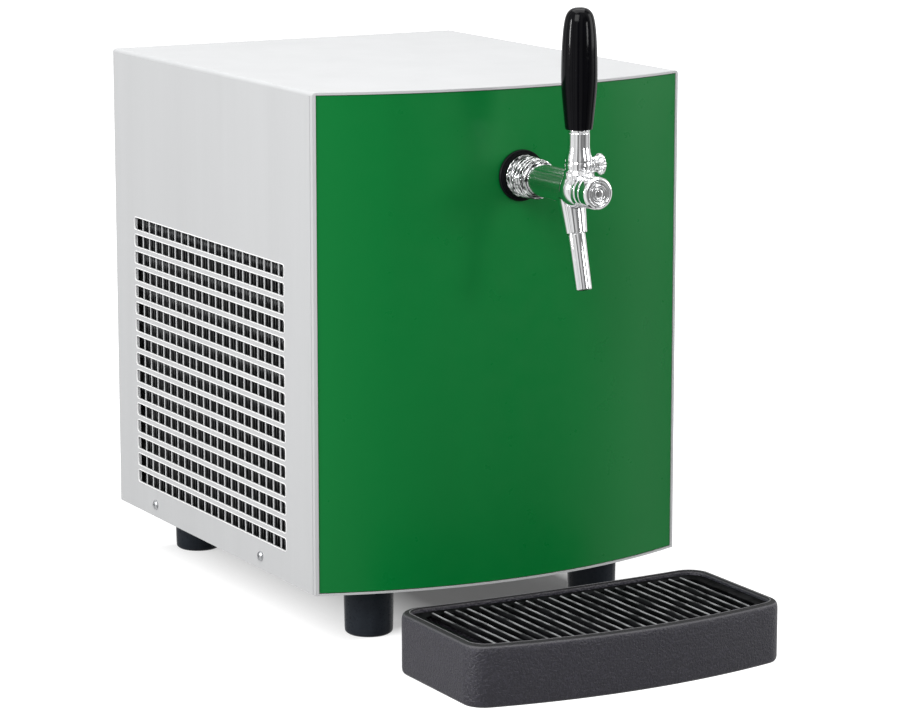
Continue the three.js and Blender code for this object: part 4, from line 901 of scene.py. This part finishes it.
def make_gasket():
    """The washer, with three round ridges that step down to its middle."""
    outer = 20.5
    profile = [(SHANK_HOLE, 0.3), (outer, 0.3, 0.6), (outer, 1.8, 0.7)]
    for ridge in range(3):
        crest = 19.9 - ridge
        rise = 0.6 * ridge
        profile += [(crest, 3 + rise, 0.3), (crest - 0.45, 3.1 + rise, 0.3),
                    (crest - 0.6, 2.3 + rise, 0.1), (crest - 0.85, 2.3 + rise, 0.1)]
    profile += [(16.9, 4.3, 0.3), (SHANK_HOLE, 4.3), (SHANK_HOLE, 0.3)]
    dress(lathe("gasket_ring", rounded(profile, 0.4, 4), TAP @ FORWARDS, 96), "cabinet", "shank_gasket")


def make_collar():
    """The ribbed collar, whose ribs are notched in turn."""
    ribs = 6
    pitch = 4.1
    notches = 24
    notch_depth = 0.016
    notched_from = 15.2
    start = 4.6
    end = start + pitch * ribs
    bore = 10.8
    mouth = 22.7
    profile = [(bore, start, 0), (15.6, start, 0)]
    for i in range(ribs):
        foot = start + pitch * i
        crest = 17 - 0.2 * i
        profile += [(crest - 1.5, foot + 0.25, 0.3), (crest, foot + 1, 0.8), (crest, foot + 2.2, 0.8),
                    (crest - 2, foot + 2.9, 0.2), (crest - 2.1, foot + 3.8, 0.2)]
    profile += [(14.6, end + 0.2, 0.3), (14.4, end + 0.9, 0.4), (13.9, end + 1.3, 0.3),
                (13.3, end + 1.3, 0), (13.3, mouth, 0), (bore, mouth, 0), (bore, start, 0)]
    collar = lathe("collar_ribbed", rounded(profile, 0.5), Matrix.Identity(4), 144)
    for vert in collar.data.vertices:
        if math.hypot(vert.co.x, vert.co.y) < notched_from * MM or vert.co.z > end * MM:
            continue
        row = int((vert.co.z / MM - start) / pitch)
        turn = math.atan2(vert.co.y, vert.co.x)
        shrink = 1 - notch_depth * (0.5 + 0.5 * math.cos(notches * turn + row * math.pi))
        vert.co.x *= shrink
        vert.co.y *= shrink
    collar.data.transform(TAP @ FORWARDS)
    dress(collar, "cabinet", "shank_collar", finish=KNURLED)


def head_block(name, low, high):
    """A box in millimetres from the middle of the tap's head."""
    bm = bmesh.new()
    middle = (0, PANEL_FACE - TAP_REACH, TAP_HEIGHT)
    add_box(bm, [a + b for a, b in zip(low, middle)], [a + b for a, b in zip(high, middle)])
    return from_bmesh(name, bm)


def ball(name, radius, rise, segments=64):
    """A ball above the middle of the tap's head."""
    matrix = TAP @ Matrix.Translation((0, -TAP_REACH * MM, rise * MM))
    return lathe(name, arc(0, 0, radius, -QUARTER, QUARTER, 40), matrix, segments)


def spout_matrix():
    """The place of the spout's upper end, behind and below the head's middle, and its lean."""
    behind = 10
    below = 11
    lean = math.radians(-15.6)
    root = Matrix.Translation((0, (behind - TAP_REACH) * MM, -below * MM))
    return TAP @ root @ Matrix.Rotation(lean, 4, "X")


def tap_cutters():
    """The bores that both parts of the tap's casting share, as new pieces."""
    narrow = 4.5
    wide = 8.5
    bore = [(0, 10), (wide, 10), (wide, 50), (narrow, 50), (narrow, 56), (wide, 56), (wide, 110), (0, 110)]
    spout = [(0, -15), (7.3, -15), (7.3, 0.3), (narrow, 0.3), (narrow, 8.5), (0, 8.5)]
    return [
        lathe("bore", bore, TAP @ FORWARDS, 64),
        lathe("spout_hole", spout, spout_matrix(), 48),
        head_block("passage", (-3, -3, 4), (3, 10.6, 16)),
    ]


def make_barrel():
    profile = rounded([
        (0, 12.9), (10.5, 12.9), (10.5, 22.9, 0), (BARREL_RADIUS, 22.9, 0.8), (BARREL_RADIUS, SPLIT, 0),
        (0, SPLIT),
    ], 0.5, 4)
    barrel = lathe("tap_barrel", profile, TAP @ FORWARDS, 96)
    cut(barrel, *tap_cutters())
    dress(barrel, "cabinet", "tap_body", finish=TURNED)


def make_head():
    """The polished casting: a ball on the barrel, the neck under the lever and the knob's boss."""
    meet = math.asin(BARREL_RADIUS / BALL_RADIUS) - QUARTER
    leave = math.acos(CAP_RADIUS / BALL_RADIUS)
    outline = rounded([
        (0, SPLIT), (BARREL_RADIUS, SPLIT, 0), *sharp_arc(TAP_REACH, BALL_RADIUS, meet, leave, 24),
        (CAP_RADIUS, HEAD_END - 1.4, 0.6), (11.9, HEAD_END, 0.4), (0, HEAD_END),
    ], 0.5, 4)
    neck = rounded([(0, 8), (12.4, 8), (12.2, 12.5, 3), (10.2, 14.6, 3), (10, 18), (0, 18)], 1, 4)
    dome_ends = math.radians(-14), math.radians(19.9)
    dome = [(0, 15.5), *arc(0, PIVOT_RISE, BONNET_RADIUS, *dome_ends, 12), (0, 21.6)]
    boss_end = 10.4
    boss = rounded([(0, 4), (6.4, 4), (6.4, boss_end, 0.6), (0, boss_end)], 0.5, 4)

    head = lathe("tap_casting", outline, TAP @ FORWARDS, 96)
    boss = lathe("boss", boss, PIVOT @ RIGHTWARDS, 48)
    fuse(head, lathe("neck", neck, HEAD), lathe("dome", dome, HEAD))
    # The boss under the knob ends below the bonnet ring
    cut(boss, head_block("above", (0, -12, 21.4), (15, 12, 35)))
    fuse(head, boss)
    cut(head,
        ball("pocket", LEVER_SOCKET, PIVOT_RISE),
        rod("throat", LEVER_SOCKET, PIVOT_RISE, 26, HEAD),
        rod("knob_hole", 3.3, 7, 14, PIVOT @ RIGHTWARDS, 32),
        *tap_cutters())
    dress(head, "cabinet", "tap_body")


def make_bonnet():
    """The retaining ring, open in front for the lever's swing."""
    foot = 3.9
    low = math.asin(foot / BONNET_RADIUS)
    profile = [(0, PIVOT_RISE + foot), *arc(0, PIVOT_RISE, BONNET_RADIUS, low, QUARTER, 14)]
    cap = lathe("bonnet_ring", profile, HEAD)
    cut(cap, ball("inside", LEVER_SOCKET, PIVOT_RISE), head_block("slot", (-4, -8.6, 18), (4, 4, 39)))
    bevel(cap, 0.3)
    dress(cap, "cabinet", "tap_bonnet")


def make_front_cap():
    """The stepped cap, with rings on its face."""
    stem = 8.2
    groove = 12.1
    profile = [
        (0, -3.5), (stem, -3.5), (stem, 0.3), (12.3, 0.3, 0.3), (CAP_RADIUS, 1, 0.4),
        (CAP_RADIUS, 5.4, 0.3), (groove, 5.7, 0.1), (groove, 6.5, 0.1), (CAP_RADIUS, 6.8, 0.3),
        (CAP_RADIUS, 14.6, 1.2), (11.4, 16.6, 0.9), (10.2, 17, 0.5), (9.2, 17, 0.5), (8.6, 15.6, 0.4),
        (7.2, 15.3, 0.4), (6.6, 16.5, 0.4), (5.4, 16.5, 0.4), (4.8, 15.2, 0.3), (4, 15.2, 0.3),
        (3.4, 16.7, 0.5), (2.4, 17, 0.6), (0, 17),
    ]
    matrix = TAP @ FORWARDS @ Matrix.Translation((0, 0, HEAD_END * MM))
    dress(lathe("cap_stepped", rounded(profile, 0.4, 4), matrix, 96), "cabinet", "tap_front_cap")


def make_spout():
    """The tapered sleeve on the head, and the tube in it."""
    bore = 7.3
    mouth = -25
    profile = rounded([
        (bore, mouth), (8.4, mouth, 0.3), (8.9, -24.6, 0.4), (9, -23.4, 0.5), (10.8, 0), (10.8, 15),
        (bore, 15), (bore, mouth),
    ], 0.3)
    sleeve = lathe("sleeve_turned", profile, spout_matrix())
    clearance = 0.3
    cut(sleeve,
        rod("clear", BARREL_RADIUS + clearance, 0, TAP_REACH, TAP @ FORWARDS, 96),
        ball("clear_ball", BALL_RADIUS + clearance, 0, 96),
        head_block("above", (-16, -20, 0), (16, TAP_REACH, 30)))
    dress(sleeve, "cabinet", "spout_sleeve")
    end = -69
    profile = rounded([
        (4.7, end), (6, end, 0.4), (6.6, -68.5, 0.5), (6.7, -67.5, 0.6), (7.25, -26), (6.9, -25.4, 0.1),
        (6.9, -24.6, 0.1), (7.2, -24), (7.2, 0), (4.5, 0), (4.7, end),
    ], 0.3, 4)
    dress(lathe("tube_turned", profile, spout_matrix()), "cabinet", "spout_tube")


def make_knob():
    """The flow knob: radius, height and how deep its flutes are there."""
    flutes = 16
    flute_depth = 0.9
    levels = [
        (3, 7.3, 0), (3, 10.7, 0), (5.8, 10.7, 0), (6.2, 11.1, 0), (6.2, 12.3, 0), (5.8, 12.6, 0),
        (6.1, 12.9, 0), (6.3, 14.3, 0), (6.8, 15.1, 0), (6.7, 15.4, 0), (7.3, 15.9, 0), (8, 16.6, 0),
        (7.9, 16.9, 0.2), (8.4, 17.3, 0.3), (8.5, 17.8, 0.5), (8.5, 19.2, 0.5), (8.2, 19.8, 0.4),
        (7.4, 20.1, 0.2), (6.6, 19.5, 0), (5.4, 19.5, 0), (5, 20, 0), (3.4, 20.1, 0),
    ]
    matrix = PIVOT @ RIGHTWARDS
    loops = []
    for radius, height, depth in levels:
        loop = circle(radius, height, 96)
        for i, (x, y, z) in enumerate(loop):
            groove = max(0, math.cos(flutes * 2 * math.pi * i / len(loop))) ** 2
            narrower = 1 - flute_depth * depth * groove / radius
            loop[i] = matrix @ Vector((x * narrower, y * narrower, z))
        loops.append(loop)
    dress(loft("knob_fluted", loops), "knob", "flow_knob")


def make_lever():
    """The stem on its ball, with the skirt over the bonnet ring and the pin in the handle."""
    tip = 2.7
    tail = 2.2
    neck = 3.4
    skirt = 11
    foot = 10.3
    foot_turn = math.acos(foot / skirt)
    rim = skirt * math.sin(foot_turn)
    shoulder = 8.5
    profile = [
        (0, -20.7),
        *sharp_arc(-PIVOT_RISE, tip, -QUARTER + 0.2, math.acos(tail / tip), 8),
        *sharp_arc(0, LEVER_BALL, -math.acos(tail / LEVER_BALL), math.acos(neck / LEVER_BALL), 16),
        *sharp_arc(0, skirt, math.acos(neck / skirt), foot_turn, 8),
        (foot + 0.1, rim + 1.2, 0.5), (10, rim + 3.2, 2), (9, rim + 7, 4), (shoulder, rim + 12, 3),
        (shoulder, 25.2, 0.5), (8.2, 25.8, 0.2), (8.2, 26.4, 0.2), (shoulder, 27, 0.2),
        (shoulder, 28, 0.3), (4, 28), (4, 58), (0, 58),
    ]
    dress(lathe("lever_stem", rounded(profile), PIVOT), "lever", "tap_lever")


def through(points, beyond, steps):
    """A smooth curve through points, which leaves the first one straight and heads beyond the last."""
    route = [points[0] * 2 - points[1], *points, beyond]
    curve = []
    for a, b, c, d in zip(route, route[1:], route[2:], route[3:]):
        for k in range(steps):
            t = k / steps
            bend = (2 * a - 5 * b + 4 * c - d) * t * t + (3 * b - a - 3 * c + d) * t ** 3
            curve.append(0.5 * (2 * b + (c - a) * t + bend))
    return curve


def make_handle():
    radius = 14
    length = 93
    bore = 4.3
    bore_depth = 30.3
    rise = 46.3
    shares = [(0.71, 0), (0.765, 0.012), (0.85, 0.13), (0.92, 0.235), (0.98, 0.35), (1, 0.47),
              (0.975, 0.64), (0.94, 0.74), (0.89, 0.83), (0.8, 0.91), (0.66, 0.96), (0.4, 0.992), (0, 1)]
    # The top comes in flat over the axis, towards the outline's other half
    beyond = Vector((-radius / 2, length - 1.4))
    curve = through([Vector((r * radius, h * length)) for r, h in shares], beyond, 6)
    outline = [(min(p.x, radius), min(p.y, length)) for p in curve]
    profile = [(0, bore_depth), (bore, bore_depth), (bore, 0), (8.8, 0), *outline[1:], (0, length)]
    matrix = HEAD @ Matrix.Translation((0, 0, rise * MM))
    dress(lathe("handle_moulded", profile, matrix, 96), "lever", "tap_handle")


# Drip tray

TRAY_WIDTH = 280
TRAY_DEPTH = 126
TRAY_BOW = 18
TRAY_BACK_BOW = 5
TRAY_CORNER = 18
TRAY_BACK = FRONT_MIDDLE - 45


def bow_stand(width, stand, x):
    """How far a bow of that width and stand comes forwards at X."""
    radius = bow_radius(width, stand)
    return math.sqrt(radius ** 2 - x ** 2) - (radius - stand)


def tray_loop(inset, height):
    """The tray's outline at an inset, in metres."""
    corner_steps = 10
    side_steps = 40
    corner = TRAY_CORNER - inset / 2
    corner_x = TRAY_WIDTH / 2 - inset - corner
    front_radius = bow_radius(TRAY_WIDTH, TRAY_BOW)
    front_centre = TRAY_BACK - TRAY_DEPTH - TRAY_BOW + front_radius
    front = front_radius - inset
    lean = math.asin(corner_x / (front - corner))
    front_y = front_centre - (front - corner) * math.cos(lean)
    back_radius = bow_radius(TRAY_WIDTH, TRAY_BACK_BOW)
    back_centre = TRAY_BACK - TRAY_BACK_BOW + back_radius
    back = back_radius + inset
    back_lean = math.asin(corner_x / (back + corner))
    back_y = back_centre - (back + corner) * math.cos(back_lean)

    points = arc(0, front_centre, front, -QUARTER - lean, -QUARTER + lean, side_steps)[:-1]
    points += arc(corner_x, front_y, corner, -QUARTER + lean, 0, corner_steps)
    points += arc(corner_x, back_y, corner, 0, QUARTER + back_lean, corner_steps)
    points += arc(0, back_centre, back, back_lean - QUARTER, -back_lean - QUARTER, side_steps)[1:-1]
    points += arc(-corner_x, back_y, corner, QUARTER - back_lean, 2 * QUARTER, corner_steps)
    points += arc(-corner_x, front_y, corner, 2 * QUARTER, 3 * QUARTER - lean, corner_steps)[:-1]
    return [at(x, y, height) for x, y in points]


def make_tray():
    """The tray, from insets and heights up its wall, over its rim and down into it."""
    well = 42
    levels = [
        (3.4, 0), (1.2, 0.4), (0.3, 1.8), (0, 4), (0, 41), (0.08, 43.4), (0.35, 45.4), (0.8, 46.7),
        (1.5, 47.6), (2.4, 48.15), (3.3, 48.35), (4.1, 48.35), (4.6, 48.5), (4.9, 48.9), (5.2, 49),
        (5.5, 48.9), (5.75, 48.4), (6, 47.6), (6, well), (11, well), (11, 3.6), (11.6, 3), (13, 3),
    ]
    tray = loft("tray_moulded", [tray_loop(inset, height) for inset, height in levels], 50)
    dress(tray, "tray", "drip_tray")


GRATE_LOW = 42.4
GRATE_TOP = 46
GRATE_INSET = 16
GRATE_RIBS = 24


def grate_frame(bm):
    """The ring round the ribs."""
    levels = [
        (6.5, GRATE_LOW), (6.3, 42.8), (6.3, 44.6), (6.55, 45), (7, 45.15), (9.4, 45.15), (9.9, 45),
        (10.4, 44.7), (10.9, 44.6), (15.4, 44.6), (15.9, 44.4), (GRATE_INSET, 44), (GRATE_INSET, 42.8),
        (15.8, GRATE_LOW),
    ]
    rows = [[bm.verts.new(point) for point in tray_loop(*level)] for level in levels]
    skin(bm, rows + rows[:1])


def grate_rib(bm, x, width):
    """A rib from front to back, which wavers a little."""
    half_section = [(0.5, GRATE_LOW), (0.5, 43.4), (0.42, 44.6), (0.22, 45.6), (0.1, GRATE_TOP)]
    section = [(-share, z) for share, z in half_section] + half_section[::-1]
    steps = 10
    most_sway = 0.9
    hidden_end = 1.2
    reach = GRATE_INSET - hidden_end
    front = TRAY_BACK - TRAY_DEPTH - bow_stand(TRAY_WIDTH, TRAY_BOW, x) + reach
    back = TRAY_BACK - bow_stand(TRAY_WIDTH, TRAY_BACK_BOW, x) - reach
    rows = []
    for k in range(steps + 1):
        y = front + (back - front) * k / steps
        sway = most_sway * noise.noise(Vector((x * 0.31, y * 0.05, 3.7)))
        rows.append([bm.verts.new(at(x + sway + width * share, y, z)) for share, z in section])
    skin(bm, rows)
    bm.faces.new(rows[0])
    bm.faces.new(rows[-1])


def make_grate():
    bm = bmesh.new()
    grate_frame(bm)
    span = TRAY_WIDTH - 2 * GRATE_INSET
    pitch = span / GRATE_RIBS
    rib_share = 0.42
    for i in range(1, GRATE_RIBS):
        grate_rib(bm, -span / 2 + i * pitch, pitch * rib_share)
    dress(from_bmesh("grate_moulded", bm, 50), "grate", "drip_grate")


make_wrap()
make_slot_rims()
make_panel()
make_guard()
make_condenser()
make_feet()
make_side_screws()
make_gasket()
make_collar()
make_barrel()
make_head()
make_bonnet()
make_front_cap()
make_spout()
make_knob()
make_lever()
make_handle()
make_tray()
make_grate()

# The other pieces keep their CAD shape, with edges this round in millimetres
EDGES = {
    "power_inlet": 0.5,
    "switch_bezel": 0.5,
    "switch_rocker": 0.4,
    "thermostat_dial": 0.3,
    "keg_door": 1.2,
    "door_liner": 1.2,
    "door_gasket": 0.6,
    "door_pull": 1.5,
    "hinge_lower": 0.4,
    "hinge_upper": 0.4,
    "keg_bay": 1.0,
    "evaporator": 0.5,
    "coupler_holder": 0.4,
    "keg_coupler": 0.4,
    "keg_mat": 0.6,
    "fan_frame": 0.5,
    "fan_rotor": 0.3,
    "compressor": 0.8,
    "compressor_mount": 0.6,
}
for node, width in EDGES.items():
    soften(node, width)
for node in ("rear_panel", "base_pan"):
    soften(node, 0.25, perforated=True)


# Floor, light and camera


def make_floor():
    bm = bmesh.new()
    bmesh.ops.create_grid(bm, x_segments=1, y_segments=1, size=8)
    floor = from_bmesh("floor", bm)
    s = Shader("floor_paper", (0.35, 0.35, 0.35), 0.9, specular_ior_level=0)
    s.vary_colour(s.grain(30, 2), (0.342, 0.342, 0.342), 0.6)
    # The paper glows to plain white away from the object, and less near it, so that the floor there shows
    # its shadow; the glow reaches further under the object on its left than on its other sides, which
    # paints part of the shadow's shape
    x = s.axis(s.place, "X")
    left = s.sums("SUBTRACT", s.sums("MULTIPLY", x, -1.0), HALF_WIDTH * MM)
    right = s.sums("SUBTRACT", x, HALF_WIDTH * MM)
    from_middle = s.sums("ABSOLUTE", s.sums("SUBTRACT", s.axis(s.place, "Y"), SHIFT))
    before = s.sums("SUBTRACT", from_middle, HALF_DEPTH * MM)
    # Painted shadow: the glow fades faster towards the right and the front and back than towards the left
    away = s.sums("MAXIMUM", left, s.sums("MULTIPLY", s.sums("MAXIMUM", right, before), 3.0))
    glow = s.span(away, 0.07, 0.86, -0.15, -0.02)
    far = s.span(away, 0, 0.5, 0.2, 0.9)
    path = s.add("ShaderNodeLightPath").outputs
    seen = s.sums("MAXIMUM", path["Is Camera Ray"], path["Is Transmission Ray"])
    strength = s.sums("MULTIPLY", seen, s.sums("ADD", glow, far))
    s.bsdf.inputs["Emission Color"].default_value = (1, 1, 1, 1)
    s.link(strength, s.bsdf.inputs["Emission Strength"])
    floor.data.materials.append(s.material)
    floor.visible_glossy = False


def make_world():
    """What polished pieces show: a white studio with a dim front and a few narrow dark gaps."""
    world = bpy.data.worlds.new("studio")
    bpy.context.scene.world = world
    w = NodeGraph(world)
    w.tree.nodes.clear()
    direction = w.add("ShaderNodeTexCoord").outputs["Generated"]
    facing = w.add("ShaderNodeVectorMath", operation="DOT_PRODUCT")
    facing.inputs[1].default_value = Vector((0.31, -0.95, -0.05)).normalized()
    w.link(direction, facing.inputs[0])
    soft = {"interpolation_type": "SMOOTHSTEP"}
    front = w.span(facing.outputs["Value"], 0.9, 0.25, 0.72, 0.91, **soft)
    azimuth = w.sums("ARCTAN2", w.axis(direction, "Y"), w.axis(direction, "X"))
    gaps = 1.0
    for turns, phase, depth in ((3, 0.4, 0.8), (7, 1.3, 0.45), (12, 0.6, 0.5)):
        wave = w.sums("COSINE", w.sums("ADD", w.sums("MULTIPLY", azimuth, turns), phase))
        gaps = w.sums("MULTIPLY", gaps, w.span(wave, 1, 1 - depth, 0.86, 0.985, **soft))
    shown = w.sums("MULTIPLY", front, gaps)

    path = w.add("ShaderNodeLightPath").outputs
    background = w.sums("MAXIMUM", path["Is Camera Ray"], path["Is Transmission Ray"])
    strength = w.sums("MAXIMUM", background, w.sums("MULTIPLY", path["Is Glossy Ray"], shown))
    ambient = 0.24
    strength = w.sums("MAXIMUM", strength, w.sums("MULTIPLY", path["Is Diffuse Ray"], ambient))
    surface = w.add("ShaderNodeBackground", {"Color": (1, 1, 1, 1)})
    w.link(strength, surface.inputs["Strength"])
    output = w.add("ShaderNodeOutputWorld")
    w.link(surface.outputs[0], output.inputs["Surface"])


def lamp(name, position, target, size, power):
    """A white rectangle of light, with its place and size in metres and its power in watts."""
    data = bpy.data.lights.new(name, "AREA")
    data.shape = "RECTANGLE"
    data.size, data.size_y = size
    data.energy = power
    made = add_object(name, data)
    made.location = position
    aim = Vector(target) - Vector(position)
    made.rotation_euler = aim.to_track_quat("-Z", "Y").to_euler()


def make_lights():
    middle = (0, 0, 0.22)
    lamp("key", (-1.9, -1.5, 2.1), middle, (1.6, 1.6), 50)
    lamp("top", (0.1, 0.3, 2.5), middle, (2.2, 2.2), 46)
    lamp("left", (-2.6, 0.2, 0.9), middle, (0.3, 0.9), 33)
    lamp("strip", (1.0, -2.4, 0.8), (0, -0.25, 0.4), (0.4, 0.6), 9)
    lamp("fill", (2.3, -1.1, 1.2), middle, (1.2, 1.8), 20)


def make_camera():
    """The photograph's camera, from its focal length in pixels on a picture 900 pixels wide."""
    sensor = 36
    focal_pixels = 3517.49
    picture_width = 900
    data = bpy.data.cameras.new("camera")
    data.sensor_width = sensor
    data.sensor_fit = "HORIZONTAL"
    data.lens = focal_pixels / picture_width * sensor
    data.clip_end = 50
    camera = add_object("camera", data)
    downwards = 10.96
    heading = -28.932
    camera.location = at(-1379.632, -2604.613, 757.201)
    camera.rotation_euler = (math.radians(90 - downwards), 0, math.radians(heading))
    bpy.context.scene.camera = camera


make_floor()
make_world()
make_lights()
make_camera()
bpy.context.scene.view_settings.view_transform = "Standard"
